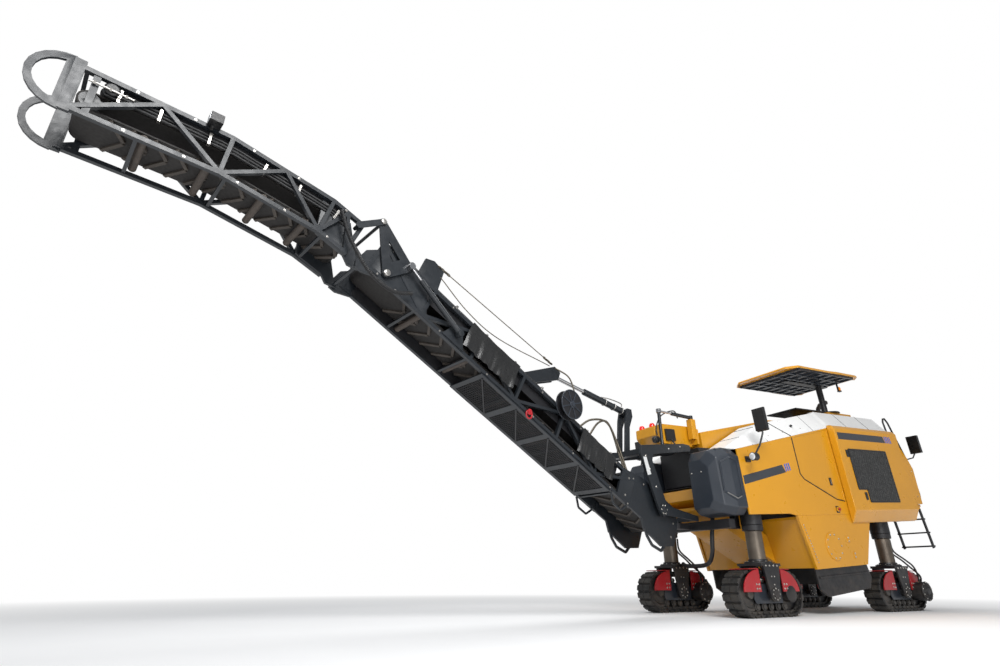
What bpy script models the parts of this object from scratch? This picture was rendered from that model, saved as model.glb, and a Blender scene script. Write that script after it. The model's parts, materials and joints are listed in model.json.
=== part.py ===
"""Front-loading cold planer: a small milling machine on four steered crawlers with a folding conveyor.

Machine frame: +X forward, +Y left, +Z up, ground at z = 0.  The front leg columns stand at x = 0, and the
whole model is moved at the end so that its origin is the bottom centre of its box.
"""
import math

import bmesh
import bpy
from mathutils import Matrix, Vector

# ---------------------------------------------------------------- driving dimensions (metres, degrees)
FIT = 0.0003                      # gap between parts that rest on each other
ORIGIN_X = 2.1067                # bottom centre of the whole machine, in the machine frame
ORIGIN_Y = 0.2796

# Chassis and crawlers
WHEELBASE = 3.277                 # front to rear leg columns
GAUGE = 1.611                     # left to right leg columns
BODY_TILT = 3.6                   # body sits nose down on its leg columns
TRACK_HEIGHT = 0.58
TRACK_LENGTH = 1.36
TRACK_WIDTH = 0.26
TRACK_SHOES = 30
SHOE_DEPTH = 0.022                # height of a shoe above the gap beside it
BELT_THICKNESS = 0.03             # chain and pad thickness under the shoe
COLUMN_RADIUS = 0.11
SLEEVE_WALL = 0.035
SLEEVE_BOTTOM = 1.17
YOKE_TOP = 0.665                  # upper face of the yoke's bridge plate
YOKE_BRIDGE = 0.035
YOKE_SIDE = 0.03
YOKE_INSIDE = 0.165               # crawler centre to the inner face of a yoke side plate
PIVOT_HEIGHT = 0.284

CONVEYOR_HALF = 0.31              # outer face of the conveyor's side frames

# Body, in the tilted body frame
SHEET = 0.03                      # panel thickness
SIDE_GAP = 0.0195                 # between a column sleeve and its side panel
HALF_WIDTH = GAUGE / 2 + COLUMN_RADIUS + SLEEVE_WALL + SIDE_GAP + SHEET   # outer face of the side panels
PANEL_FRONT = 0.165
PANEL_BOTTOM = 1.30
PANEL_FRONT_TOP = 2.205
COLUMN_TOP = PANEL_FRONT_TOP - 0.305   # leg columns end under the hoods
PANEL_TOP_SLOPE = 0.187           # rise per metre to the rear
BOX_FRONT = -2.24                 # front edge of the cooling air door
BOX_REAR = -4.20
BOX_BOTTOM = 1.14
BOX_CREASE = 1.32
BOX_TOP = 2.69
BOX_DEPTH = 0.12
BODY_REAR = -4.70
RIDGE_Y = 0.79                    # top edge of the hood's sloping shoulder
RIDGE_RISE = 0.30
BUMPER_FRONT = 0.62
BUMPER_INNER = CONVEYOR_HALF + 0.11  # clears the slewing yoke
BUMPER_TOP = PANEL_FRONT_TOP + 0.035
PLATFORM_FRONT = -1.85
PLATFORM_HALF = 0.70
PLATFORM_FLOOR = PANEL_FRONT_TOP + 0.035

# Milling drum and its housing, in the body frame
DRUM_X = -1.72
DRUM_Z = 1.02
DRUM_RADIUS = 0.40
DRUM_LENGTH = 1.26
HOUSING_FRONT = -1.06
HOUSING_REAR = -2.38
HOUSING_REAR_TOP = -2.74
HOUSING_BOTTOM = 0.53
HOUSING_TOP = 1.27
HOUSING_WALL = ((HOUSING_FRONT - 0.03, HOUSING_BOTTOM + 0.02), (-0.945, HOUSING_TOP - 0.03))
FEED_END = (0.40, 1.42)           # lip of the feed trough

# Slewing, lifting and folding conveyor
SLEW_X = 0.70
SLEW_REST = 11.0                  # turned to the left
ROOT_X = 0.80                     # root pin ahead of the slew axis
ROOT_Z = 1.33
INCLINE = 27.0
CHORD = 0.045
CHORD_LOW = -0.30                 # lower edge of the side frame, from the root pin
LOWER_DEPTH = 0.42
UPPER_DEPTH = 0.46
TAIL_END = -0.45
HINGE_S = 5.15                    # fold hinge along the conveyor, from the root pin
BELT_HALF = 0.235
UPPER_FRAME_START = 0.16          # where the upper side frames begin, from the hinge
UPPER_RUNS = ((0.50, 22.4), (0.96, 11.1), (1.15, 1.5))   # length and incline of each straight stretch

# Cylinders
LIFT_BASE = (0.92, 2.73)          # from the slew axis, above ground
LIFT_EYE = (2.22, 0.70)           # on the lower conveyor: along, above the root pin
SLEW_BASE = (-0.36, 0.27, 2.81)   # from the slew axis, machine directions
SLEW_EYE = (0.42, 0.24)           # on the yoke
FOLD_BASE = (3.854, -0.168)       # on the lower conveyor
ROCKER_PIVOT = (4.882, -0.220)
ROCKER_TOP = (5.230, 0.264)
ROCKER_CORNER = (4.719, 0.054)
LINK_EYE = (5.40, 0.00)           # on the upper conveyor at rest, in lower conveyor coordinates
LIFT_GAP = 0.05                   # half the space between the lift cylinder's ears
REEL = (2.09, 0.20)               # hose reel on the lower conveyor

PALETTE = {
    "machine_yellow": ((0.78, 0.44, 0.02), 0.35, 0.0),
    "hood_white": ((0.85, 0.85, 0.84), 0.35, 0.0),
    "slate_grey": ((0.09, 0.10, 0.12), 0.45, 0.0),
    "frame_black": ((0.02, 0.02, 0.022), 0.5, 0.0),
    "guard_red": ((0.45, 0.01, 0.02), 0.4, 0.0),
    "track_steel": ((0.05, 0.05, 0.05), 0.6, 0.6),
    "belt_rubber": ((0.03, 0.03, 0.03), 0.85, 0.0),
    "chrome_rod": ((0.6, 0.6, 0.6), 0.15, 1.0),
    "bare_steel": ((0.30, 0.29, 0.27), 0.45, 0.9),
    "glass_mirror": ((0.5, 0.5, 0.5), 0.05, 1.0),
}


# ---------------------------------------------------------------- scene, materials and frames
def clear_scene():
    for obj in list(bpy.data.objects):
        bpy.data.objects.remove(obj, do_unlink=True)
    for collection in list(bpy.data.collections):
        bpy.data.collections.remove(collection)


def material(name):
    found = bpy.data.materials.get(name)
    if found:
        return found
    colour, roughness, metallic = PALETTE[name]
    made = bpy.data.materials.new(name)
    made.use_nodes = True
    shader = made.node_tree.nodes["Principled BSDF"]
    shader.inputs["Base Color"].default_value = (*colour, 1.0)
    shader.inputs["Roughness"].default_value = roughness
    shader.inputs["Metallic"].default_value = metallic
    return made


def pivot(name, parent=None, at=(0, 0, 0), turn=(0, 0, 0)):
    """An empty that carries a body; its origin lies on the body's joint axis."""
    empty = bpy.data.objects.new(name, None)
    empty.location = at
    empty.rotation_euler = [math.radians(a) for a in turn]
    empty.parent = parent
    MACHINE.objects.link(empty)
    return empty


# ---------------------------------------------------------------- solid helpers
def mesh_object(name, mesh):
    obj = bpy.data.objects.new(name, mesh)
    MACHINE.objects.link(obj)
    return obj


def from_bmesh(bm, name="piece"):
    bmesh.ops.recalc_face_normals(bm, faces=bm.faces)
    if bm.calc_volume(signed=True) < 0:
        bmesh.ops.reverse_faces(bm, faces=bm.faces)
    mesh = bpy.data.meshes.new(name)
    bm.to_mesh(mesh)
    bm.free()
    return mesh_object(name, mesh)


def box(low, high, turn=0.0):
    """A box between two corners, turned about Y through its centre by turn degrees."""
    low, high = Vector(low), Vector(high)
    bm = bmesh.new()
    bmesh.ops.create_cube(bm, size=1.0)
    size = Matrix.Diagonal((*(high - low), 1.0))
    spin = Matrix.Rotation(math.radians(turn), 4, "Y")
    bmesh.ops.transform(bm, matrix=Matrix.Translation((low + high) / 2) @ spin @ size, verts=bm.verts)
    return from_bmesh(bm)


def bar(start, end, width, depth):
    """A square bar from point to point; width is along Y where the bar isn't."""
    start, end = Vector(start), Vector(end)
    along = end - start
    side = Vector((0, 1, 0)) if abs(along.normalized().y) < 0.9 else Vector((1, 0, 0))
    up = along.cross(side).normalized()
    side = up.cross(along).normalized()
    bm = bmesh.new()
    bmesh.ops.create_cube(bm, size=1.0)
    axes = Matrix((along, side * width, up * depth)).transposed().to_4x4()
    bmesh.ops.transform(bm, matrix=Matrix.Translation((start + end) / 2) @ axes, verts=bm.verts)
    return from_bmesh(bm)


def cylinder(start, end, radius, sides=16):
    start, end = Vector(start), Vector(end)
    along = end - start
    bm = bmesh.new()
    bmesh.ops.create_cone(bm, cap_ends=True, segments=sides, radius1=radius, radius2=radius, depth=along.length)
    aim = along.to_track_quat("Z", "Y").to_matrix().to_4x4()
    bmesh.ops.transform(bm, matrix=Matrix.Translation((start + end) / 2) @ aim, verts=bm.verts)
    return from_bmesh(bm)


def to_mesh(obj):
    """Turn a curve into a mesh object with its caps welded."""
    graph = bpy.context.evaluated_depsgraph_get()
    mesh = bpy.data.meshes.new_from_object(obj.evaluated_get(graph))
    bm = bmesh.new()
    bm.from_mesh(mesh)
    bmesh.ops.remove_doubles(bm, verts=bm.verts, dist=0.00005)
    bmesh.ops.transform(bm, matrix=obj.matrix_world, verts=bm.verts)
    curve = obj.data
    bpy.data.objects.remove(obj, do_unlink=True)
    bpy.data.curves.remove(curve)
    bpy.data.meshes.remove(mesh)
    return from_bmesh(bm)


def plate(outline, start, end, plane="xz", holes=()):
    """A flat outline between two levels of the third axis: xz plates stand along Y, xy plates lie."""
    curve = bpy.data.curves.new("outline", "CURVE")
    curve.dimensions = "2D"
    curve.fill_mode = "BOTH"
    curve.extrude = abs(end - start) / 2
    for ring in (outline, *holes):
        spline = curve.splines.new("POLY")
        spline.points.add(len(ring) - 1)
        for point, (a, b) in zip(spline.points, ring):
            point.co = (a, b, 0, 1)
        spline.use_cyclic_u = True
    obj = bpy.data.objects.new("outline", curve)
    MACHINE.objects.link(obj)
    middle = (start + end) / 2
    if plane == "xz":
        obj.rotation_euler = (math.radians(90), 0, 0)
        obj.location = (0, middle, 0)
    elif plane == "yz":
        obj.rotation_euler = (math.radians(90), 0, math.radians(90))
        obj.location = (middle, 0, 0)
    else:
        obj.location = (0, 0, middle)
    bpy.context.view_layer.update()
    return to_mesh(obj)


def tube(points, radius, sides=2):
    curve = bpy.data.curves.new("tube", "CURVE")
    curve.dimensions = "3D"
    curve.bevel_depth = radius
    curve.bevel_resolution = sides
    curve.use_fill_caps = True
    spline = curve.splines.new("POLY")
    spline.points.add(len(points) - 1)
    for point, place in zip(spline.points, points):
        point.co = (*place, 1)
    obj = bpy.data.objects.new("tube", curve)
    MACHINE.objects.link(obj)
    bpy.context.view_layer.update()
    return to_mesh(obj)


def loft(rings):
    """A closed skin through rings of the same number of points, capped at both ends."""
    bm = bmesh.new()
    rows = [[bm.verts.new(p) for p in ring] for ring in rings]
    count = len(rows[0])
    for near, far in zip(rows, rows[1:]):
        for i in range(count):
            j = (i + 1) % count
            bm.faces.new((near[i], near[j], far[j], far[i]))
    bm.faces.new(list(reversed(rows[0])))
    bm.faces.new(rows[-1])
    return from_bmesh(bm)


def combine(base, others, operation):
    """Join or cut solids with Boolean modifiers and keep the result as a plain mesh."""
    for other in others:
        step = base.modifiers.new("step", "BOOLEAN")
        step.operation = operation
        step.object = other
    graph = bpy.context.evaluated_depsgraph_get()
    mesh = bpy.data.meshes.new_from_object(base.evaluated_get(graph))
    bm = bmesh.new()
    bm.from_mesh(mesh)
    bmesh.ops.remove_doubles(bm, verts=bm.verts, dist=0.000002)
    clean = bm.copy()
    bmesh.ops.dissolve_limit(clean, angle_limit=math.radians(0.1), verts=clean.verts, edges=clean.edges)
    if all(edge.is_manifold for edge in clean.edges):
        bm, clean = clean, bm
    clean.free()
    bpy.data.meshes.remove(mesh)
    for piece in (base, *others):
        bpy.data.objects.remove(piece, do_unlink=True)
    return from_bmesh(bm)


def union(*pieces):
    return combine(pieces[0], pieces[1:], "UNION")


def cut(base, *cutters):
    return combine(base, cutters, "DIFFERENCE")


def on_side(obj, side):
    """The left-hand solid itself, or its reflection in the plane y = 0 for the right-hand side."""
    if side > 0:
        return obj
    bm = bmesh.new()
    bm.from_mesh(obj.data)
    bmesh.ops.transform(bm, matrix=Matrix.Scale(-1, 4, (0, 1, 0)), verts=bm.verts)
    bpy.data.objects.remove(obj, do_unlink=True)
    return from_bmesh(bm)


def node(name, obj, finish, parent):
    """Name a finished solid, give it its material and hang it on its body's empty."""
    obj.name = name
    obj.data.name = name
    obj.data.materials.clear()
    obj.data.materials.append(material(finish))
    obj.data.shade_smooth()
    obj.data.set_sharp_from_angle(angle=math.radians(35))
    obj.parent = parent
    return obj


def arc(centre, radius, first, last, count):
    """Points of an arc, angles in degrees, in the outline's own plane."""
    return [(centre[0] + radius * math.cos(math.radians(first + (last - first) * i / count)),
             centre[1] + radius * math.sin(math.radians(first + (last - first) * i / count)))
            for i in range(count + 1)]


# ---------------------------------------------------------------- crawler legs
TRACK_RADIUS = TRACK_HEIGHT / 2
AXLE_X = TRACK_LENGTH / 2 - TRACK_RADIUS
LOOP_INSIDE = TRACK_RADIUS - SHOE_DEPTH - BELT_THICKNESS
LOOP_FACETS = 12


def track_outline():
    """The loop's outside: shoes with sloping flanks around two half circles and two straights."""
    straight = 2 * AXLE_X
    length = 2 * straight + 2 * math.pi * TRACK_RADIUS
    pitch = length / TRACK_SHOES

    def place(distance, height):
        radius = TRACK_RADIUS - SHOE_DEPTH + height
        distance = (distance + straight / 2) % length
        if distance < straight:
            return distance - straight / 2, TRACK_RADIUS - radius
        distance -= straight
        if distance < math.pi * TRACK_RADIUS:
            angle = distance / TRACK_RADIUS - math.pi / 2
            return AXLE_X + radius * math.cos(angle), TRACK_RADIUS + radius * math.sin(angle)
        distance -= math.pi * TRACK_RADIUS
        if distance < straight:
            return straight / 2 - distance, TRACK_RADIUS + radius
        angle = (distance - straight) / TRACK_RADIUS + math.pi / 2
        return -AXLE_X + radius * math.cos(angle), TRACK_RADIUS + radius * math.sin(angle)

    points = []
    for shoe in range(TRACK_SHOES):
        start = shoe * pitch
        points += [place(start + pitch * f, h) for f, h in
                   ((0.08, 0.0), (0.20, SHOE_DEPTH), (0.80, SHOE_DEPTH), (0.92, 0.0))]
    return points


def track_inside():
    return (arc((AXLE_X, TRACK_RADIUS), LOOP_INSIDE, -90, 90, LOOP_FACETS)
            + arc((-AXLE_X, TRACK_RADIUS), LOOP_INSIDE, 90, 270, LOOP_FACETS))


def guard(direction, side):
    """A rounded guard plate over one end of the crawler, bolted to the track frame."""
    low = PIVOT_HEIGHT + 0.03
    inner = direction * (AXLE_X - 0.16)
    outline = [(inner, low)]
    outline += [(inner + direction * x, low + z) for x, z in arc((0.0, 0.0), 1.0, 0, 90, 4)
                for x, z in ((x * 0.34, z * 0.27),)]
    face = side * (TRACK_WIDTH / 2 + 0.012)
    sheet = plate(outline, face, face + side * 0.012)
    spacer = box((min(inner + direction * 0.02, inner + direction * 0.12), min(side * 0.05, face + side * 0.006),
                  low + 0.01),
                 (max(inner + direction * 0.02, inner + direction * 0.12), max(side * 0.05, face + side * 0.006),
                  low + 0.07))
    return [sheet, spacer]


def leg(corner, x, side, parent, motor_side):
    """Column and yoke, track loop and track frame, in a frame that stands on the ground at the column."""
    body = pivot(corner + "_leg", parent, (x, side * GAUGE / 2, 0))
    outer = YOKE_INSIDE + YOKE_SIDE
    bridge = box((-0.20, -outer, YOKE_TOP - YOKE_BRIDGE), (0.20, outer, YOKE_TOP))
    column = cylinder((0, 0, YOKE_TOP - 0.01), (0, 0, COLUMN_TOP), COLUMN_RADIUS, 16)
    seat = cylinder((0, 0, SLEEVE_BOTTOM - 0.05), (0, 0, SLEEVE_BOTTOM - FIT), COLUMN_RADIUS + 0.025, 16)
    cheek = [(-0.17, YOKE_TOP - 0.005), (-0.09, PIVOT_HEIGHT - 0.06), (-0.05, PIVOT_HEIGHT - 0.09),
             (0.05, PIVOT_HEIGHT - 0.09), (0.09, PIVOT_HEIGHT - 0.06), (0.17, YOKE_TOP - 0.005)]
    cheeks = [plate(cheek, s * YOKE_INSIDE, s * outer) for s in (-1, 1)]
    node(corner + "_leg_yoke", union(bridge, column, seat, *cheeks), "frame_black", body)

    loop = plate(track_outline(), -TRACK_WIDTH / 2, TRACK_WIDTH / 2, holes=[track_inside()])
    node(corner + "_track", loop, "track_steel", body)

    inside = LOOP_INSIDE - FIT
    wheel = LOOP_INSIDE * math.cos(math.pi / 2 / LOOP_FACETS) - FIT
    core = box((-AXLE_X - 0.04, -0.055, 0.13), (AXLE_X + 0.04, 0.055, 0.42))
    wheels = [cylinder((s * AXLE_X, -0.05, TRACK_RADIUS), (s * AXLE_X, 0.05, TRACK_RADIUS), wheel, 16)
              for s in (-1, 1)]
    keel = box((-AXLE_X * 0.9, -0.045, TRACK_RADIUS - inside), (AXLE_X * 0.9, 0.045, 0.15))
    boss = cylinder((0, -YOKE_INSIDE + FIT, PIVOT_HEIGHT), (0, YOKE_INSIDE - FIT, PIVOT_HEIGHT), 0.06, 12)
    hub = cylinder((-AXLE_X, 0.04 * -motor_side, TRACK_RADIUS),
                   (-AXLE_X, 0.145 * -motor_side, TRACK_RADIUS), 0.11, 12)
    motor = cylinder((-AXLE_X, 0.04 * motor_side, TRACK_RADIUS),
                     (-AXLE_X, 0.30 * motor_side, TRACK_RADIUS), 0.14, 14)
    guards = [p for d in (-1, 1) for s in (-1, 1) for p in guard(d, s)]
    frame = union(core, *wheels, keel, boss, hub, motor, *guards)
    node(corner + "_track_frame", frame, "frame_black", body)


# ---------------------------------------------------------------- chassis
def main_frame(parent):
    """Side beams, cross members and the four column sleeves."""
    sleeve_radius = COLUMN_RADIUS + SLEEVE_WALL
    half = GAUGE / 2
    beams = [box((-WHEELBASE - 0.25, s * 0.62 - 0.06, 1.46), (0.14, s * 0.62 + 0.06, 1.62)) for s in (-1, 1)]
    sleeves = [cylinder((x, s * half, SLEEVE_BOTTOM), (x, s * half, COLUMN_TOP - 0.02), sleeve_radius, 16)
               for x in (0, -WHEELBASE) for s in (-1, 1)]
    pads = [box((-0.05, min(s * 0.93, s * (HALF_WIDTH - SHEET - FIT)), 1.50),
                (0.05, max(s * 0.93, s * (HALF_WIDTH - SHEET - FIT)), 1.66)) for s in (-1, 1)]
    ties = [box((-0.10, s * 0.60, 1.42), (0.10, s * 0.72, COLUMN_TOP - 0.05)) for s in (-1, 1)]
    ties += [box((-WHEELBASE - 0.10, s * 0.60, 1.42), (-WHEELBASE + 0.10, s * 0.72, COLUMN_TOP - 0.05)) for s in (-1, 1)]
    arch = box((-0.10, -0.70, COLUMN_TOP - 0.04), (0.10, 0.70, COLUMN_TOP + 0.09))
    posts = [box((-0.09, s * 0.66 - 0.05, 1.55), (0.09, s * 0.66 + 0.05, COLUMN_TOP + 0.05)) for s in (-1, 1)]
    rear = box((-WHEELBASE - 0.10, -0.64, 1.465), (-WHEELBASE + 0.10, 0.64, 1.60))
    struts = [box((0.05, s * 0.60 - 0.05, 1.13), (0.44, s * 0.60 + 0.05, 1.23)) for s in (-1, 1)]
    drops = [box((0.05, s * 0.60 - 0.05, 1.15), (0.13, s * 0.60 + 0.05, 1.50)) for s in (-1, 1)]
    cross = box((0.34, -0.80, 1.12), (0.46, 0.80, 1.24))
    seat = plate(arc((SLEW_X, 0), 0.13, -90, 90, 8) + [(0.40, 0.13), (0.40, -0.13)], 1.14, 1.22, plane="xy")
    frame = union(*beams, *sleeves, *pads, *ties, arch, *posts, rear, *struts, *drops, cross, seat)
    bores = [cylinder((x, s * half, SLEEVE_BOTTOM - 0.1), (x, s * half, COLUMN_TOP + 0.1),
                      COLUMN_RADIUS + 0.0025, 16) for x in (0, -WHEELBASE) for s in (-1, 1)]
    node("main_frame", cut(frame, *bores), "frame_black", parent)


def panel_top(x):
    """Upper edge of the side panel."""
    if x < BOX_FRONT:
        return BOX_TOP
    return PANEL_FRONT_TOP + PANEL_TOP_SLOPE * (PANEL_FRONT - x)


def ridge_rise(x):
    """Height of the hood's ridge above the side panel's edge: it fades out towards the nose."""
    return RIDGE_RISE * min(1.0, 0.18 + 0.82 * (PANEL_FRONT - x) / 0.9)


DOOR_FRONT = -1.20
DOOR_KNEE = (-1.27, 1.80)
DOOR_HEEL = (-2.00, 1.50)
DOOR_REAR = BOX_FRONT + 0.03
SEAM = 0.006
BAY_BOTTOM = HOUSING_TOP + 0.06      # lower edge of the cooler's opening


def door_outline(margin):
    """The side door, pulled in by a margin from its opening."""
    m = margin
    hang = min(m, FIT)
    return [(DOOR_FRONT - m, panel_top(DOOR_FRONT - m) - 0.03 - hang), (DOOR_FRONT - m, 1.88 + m),
            (DOOR_KNEE[0] - m, DOOR_KNEE[1] + m), (DOOR_HEEL[0], DOOR_HEEL[1] + m),
            (DOOR_REAR + m, DOOR_HEEL[1] - 0.03 + m), (DOOR_REAR + m, panel_top(DOOR_REAR + m) - 0.03 - hang)]


def side_panel(parent, name, side):
    outline = [(PANEL_FRONT, PANEL_BOTTOM), (PANEL_FRONT, PANEL_FRONT_TOP),
               (BOX_FRONT, panel_top(BOX_FRONT + 0.001)), (BOX_FRONT - 0.1, BOX_TOP), (BOX_REAR - 0.06, BOX_TOP),
               (BODY_REAR + 0.10, 2.24), (BODY_REAR, 2.04), (BODY_REAR + 0.05, 1.42), (BOX_REAR, 1.42),
               (BOX_REAR, BOX_BOTTOM), (HOUSING_REAR_TOP - FIT, BOX_BOTTOM),
               (HOUSING_REAR_TOP - FIT, HOUSING_TOP + FIT), (-0.90, HOUSING_TOP + FIT), (-0.74, PANEL_BOTTOM)]
    bay = [(BOX_REAR + 0.10, BAY_BOTTOM), (BOX_REAR + 0.10, BOX_TOP - 0.10),
           (BOX_FRONT - 0.10, BOX_TOP - 0.10), (BOX_FRONT - 0.10, BAY_BOTTOM)]
    sheet = plate(outline, HALF_WIDTH - SHEET, HALF_WIDTH, holes=[bay, door_outline(0.0)])
    node(name, on_side(sheet, side), "machine_yellow", parent)


def side_door(parent, name, side):
    top = panel_top(DOOR_FRONT) - 0.03
    body = pivot(name + "_hinge", parent, (DOOR_FRONT, side * HALF_WIDTH, top))
    outline = [(x - DOOR_FRONT, z - top) for x, z in door_outline(SEAM)]
    node(name, plate(outline, -side * SHEET, 0.0), "machine_yellow", body)


def air_door(parent, name, side):
    """Deep pressed door over the cooler, hinged on its rear edge; its grille is an opening here."""
    body = pivot(name + "_hinge", parent, (BOX_REAR, side * (HALF_WIDTH + 0.03), BOX_BOTTOM))
    gap = HALF_WIDTH + 0.004
    face = HALF_WIDTH + BOX_DEPTH

    gap -= HALF_WIDTH + 0.03
    face -= HALF_WIDTH + 0.03
    crease, top = BOX_CREASE - BOX_BOTTOM, BOX_TOP - BOX_BOTTOM
    length = BOX_FRONT - BOX_REAR
    profile = [(gap, 0.0), (face - 0.09, 0.01), (face, crease), (face, top - 0.06), (face - 0.05, top), (gap, top + 0.01)]
    shell = plate(profile, 0.004, length, plane="yz")
    hollow = box((0.05, gap - 0.05, 0.20), (length - 0.05, face - SHEET, top - 0.08))
    node(name, on_side(cut(shell, hollow), side), "machine_yellow", body)


def bumper(parent, name, side):
    """Faceted nose block in front of each shoulder."""
    rear = PANEL_FRONT + FIT
    inner, outer = BUMPER_INNER, HALF_WIDTH

    def ring(x, shrink, top, low):
        pts = [(inner + 0.02, low), (outer - 0.10 - shrink, low), (outer - shrink, low + 0.10),
               (outer - shrink, top - 0.12), (outer - 0.12 - shrink, top), (inner + 0.05, top)]
        return [(x, side * y, z) for y, z in pts]

    block = loft([ring(rear, 0.0, BUMPER_TOP - 0.02, PANEL_BOTTOM), ring(0.36, 0.005, BUMPER_TOP, PANEL_BOTTOM),
                  ring(0.54, 0.09, BUMPER_TOP - 0.03, PANEL_BOTTOM + 0.04),
                  ring(BUMPER_FRONT, 0.20, BUMPER_TOP - 0.16, PANEL_BOTTOM + 0.12)])
    node(name, block, "slate_grey", parent)


def hood(parent, name, side):
    """White shoulder cover: slopes up from the side panel to a ridge, then runs level inwards."""
    t = SHEET

    def ring(x, inner, rise):
        edge = panel_top(x) + FIT
        top = edge + rise
        pts = [(HALF_WIDTH, edge), (RIDGE_Y, top), (inner, top), (inner, top - t), (RIDGE_Y - 0.02, top - t),
               (HALF_WIDTH - 0.05, edge)]
        return [(x, side * y, z) for y, z in pts]

    stations = [(PANEL_FRONT, BUMPER_INNER), (-0.75, BUMPER_INNER), (PLATFORM_FRONT + 0.02, BUMPER_INNER),
                (PLATFORM_FRONT - 0.02, PLATFORM_HALF + 0.01), (BOX_FRONT + 0.001, PLATFORM_HALF + 0.01),
                (BOX_FRONT - 0.10, PLATFORM_HALF + 0.01), (BOX_REAR, PLATFORM_HALF + 0.01)]
    cover = loft([ring(x, inner, ridge_rise(x)) for x, inner in stations])
    node(name, cover, "hood_white", parent)


def rear_body(parent):
    """Rear cross wall and its corner posts, open in the middle for the way up from the ladder."""
    low, top = 1.46, panel_top(-3) + RIDGE_RISE
    edge = HALF_WIDTH - SHEET - FIT
    outline = [(-edge, low), (edge, low), (edge, 2.10), (0.80, 2.62), (0.46, 2.62), (0.46, PLATFORM_FLOOR),
               (-0.46, PLATFORM_FLOOR), (-0.46, 2.62), (-0.80, 2.62), (-edge, 2.10)]
    wall = plate(outline, BODY_REAR + 0.10, BODY_REAR + 0.14, plane="yz")
    apron = box((BODY_REAR + 0.11, 0.36, LADDER_Z - 0.06), (BODY_REAR + 0.18, 0.96, low + 0.02))
    hinges = [cylinder((LADDER_X, 0.66 + s * 0.275, LADDER_Z), (LADDER_X, 0.66 + s * (0.25 + FIT), LADDER_Z), 0.02, 12)
              for s in (-1, 1)]
    ears = [box((LADDER_X - 0.02, 0.66 + s * 0.265 - 0.01, LADDER_Z - 0.02),
                (BODY_REAR + 0.12, 0.66 + s * 0.265 + 0.01, LADDER_Z + 0.02)) for s in (-1, 1)]
    node("rear_wall", union(wall, apron, *ears, *hinges), "machine_yellow", parent)


def operator_station(parent):
    """Floor and inner walls of the recessed platform, with console, seats and canopy pedestal."""
    rear = BODY_REAR + 0.14 + FIT
    top = panel_top(-3) + RIDGE_RISE - SHEET - 0.005
    front_top = panel_top(PLATFORM_FRONT) + ridge_rise(PLATFORM_FRONT) - SHEET - 0.005
    floor = box((rear, -PLATFORM_HALF, PLATFORM_FLOOR - SHEET), (PLATFORM_FRONT, PLATFORM_HALF, PLATFORM_FLOOR))
    wall_outline = [(BOX_REAR + 0.02, PLATFORM_FLOOR - 0.01), (BOX_REAR + 0.02, top), (BOX_FRONT - 0.15, top),
                    (PLATFORM_FRONT - 0.002, front_top - 0.02), (PLATFORM_FRONT - 0.002, PLATFORM_FLOOR - 0.01)]
    walls = [plate(wall_outline, s * (PLATFORM_HALF - SHEET), s * PLATFORM_HALF) for s in (-1, 1)]
    front = box((PLATFORM_FRONT - SHEET, -PLATFORM_HALF + 0.01, PLATFORM_FLOOR - 0.02),
                (PLATFORM_FRONT - 0.002, PLATFORM_HALF - 0.01, front_top - 0.02))
    node("operator_platform", union(floor, *walls, front), "frame_black", parent)

    floor_top = PLATFORM_FLOOR + FIT
    desk = [(PLATFORM_FRONT - SHEET - FIT, floor_top), (PLATFORM_FRONT - SHEET - FIT, front_top + 0.02),
            (PLATFORM_FRONT - 0.16, front_top + 0.06), (PLATFORM_FRONT - 0.42, front_top - 0.22),
            (PLATFORM_FRONT - 0.36, front_top - 0.34), (PLATFORM_FRONT - 0.18, front_top - 0.36),
            (PLATFORM_FRONT - 0.18, floor_top)]
    node("control_console", plate(desk, -0.55, 0.55), "frame_black", parent)

    seat_x, seat_y = -2.82, 0.30
    stem = box((seat_x - 0.10, seat_y - 0.10, floor_top), (seat_x + 0.10, seat_y + 0.10, floor_top + 0.20))
    cushion = box((seat_x - 0.24, seat_y - 0.23, floor_top + 0.18), (seat_x + 0.22, seat_y + 0.23, floor_top + 0.30))
    back = box((seat_x - 0.32, seat_y - 0.22, floor_top + 0.22), (seat_x - 0.22, seat_y + 0.22, floor_top + 0.68),
               turn=-8)
    node("operator_seat", union(stem, cushion, back), "frame_black", parent)

    pedestal = box((-4.12, -0.20, floor_top), (-3.36, 0.48, PEDESTAL_TOP))
    sleeve = cylinder((POST_X, POST_Y, PEDESTAL_TOP - 0.01), (POST_X, POST_Y, PEDESTAL_TOP + 0.035), 0.115, 20)
    bore = cylinder((POST_X, POST_Y, floor_top + 0.06), (POST_X, POST_Y, PEDESTAL_TOP + 0.2),
                    POST_RADIUS + FIT, 16)
    node("canopy_pedestal", cut(union(pedestal, sleeve), bore), "machine_yellow", parent)


POST_X = -3.60
POST_Y = 0.30
POST_RADIUS = 0.055
PEDESTAL_TOP = 3.14
CANOPY_FRONT, CANOPY_REAR = -1.86, -3.92
CANOPY_LEFT, CANOPY_RIGHT = 0.98, -0.38
CANOPY_Z = 3.76
ROOF_UNDERSIDE = -0.03


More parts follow.
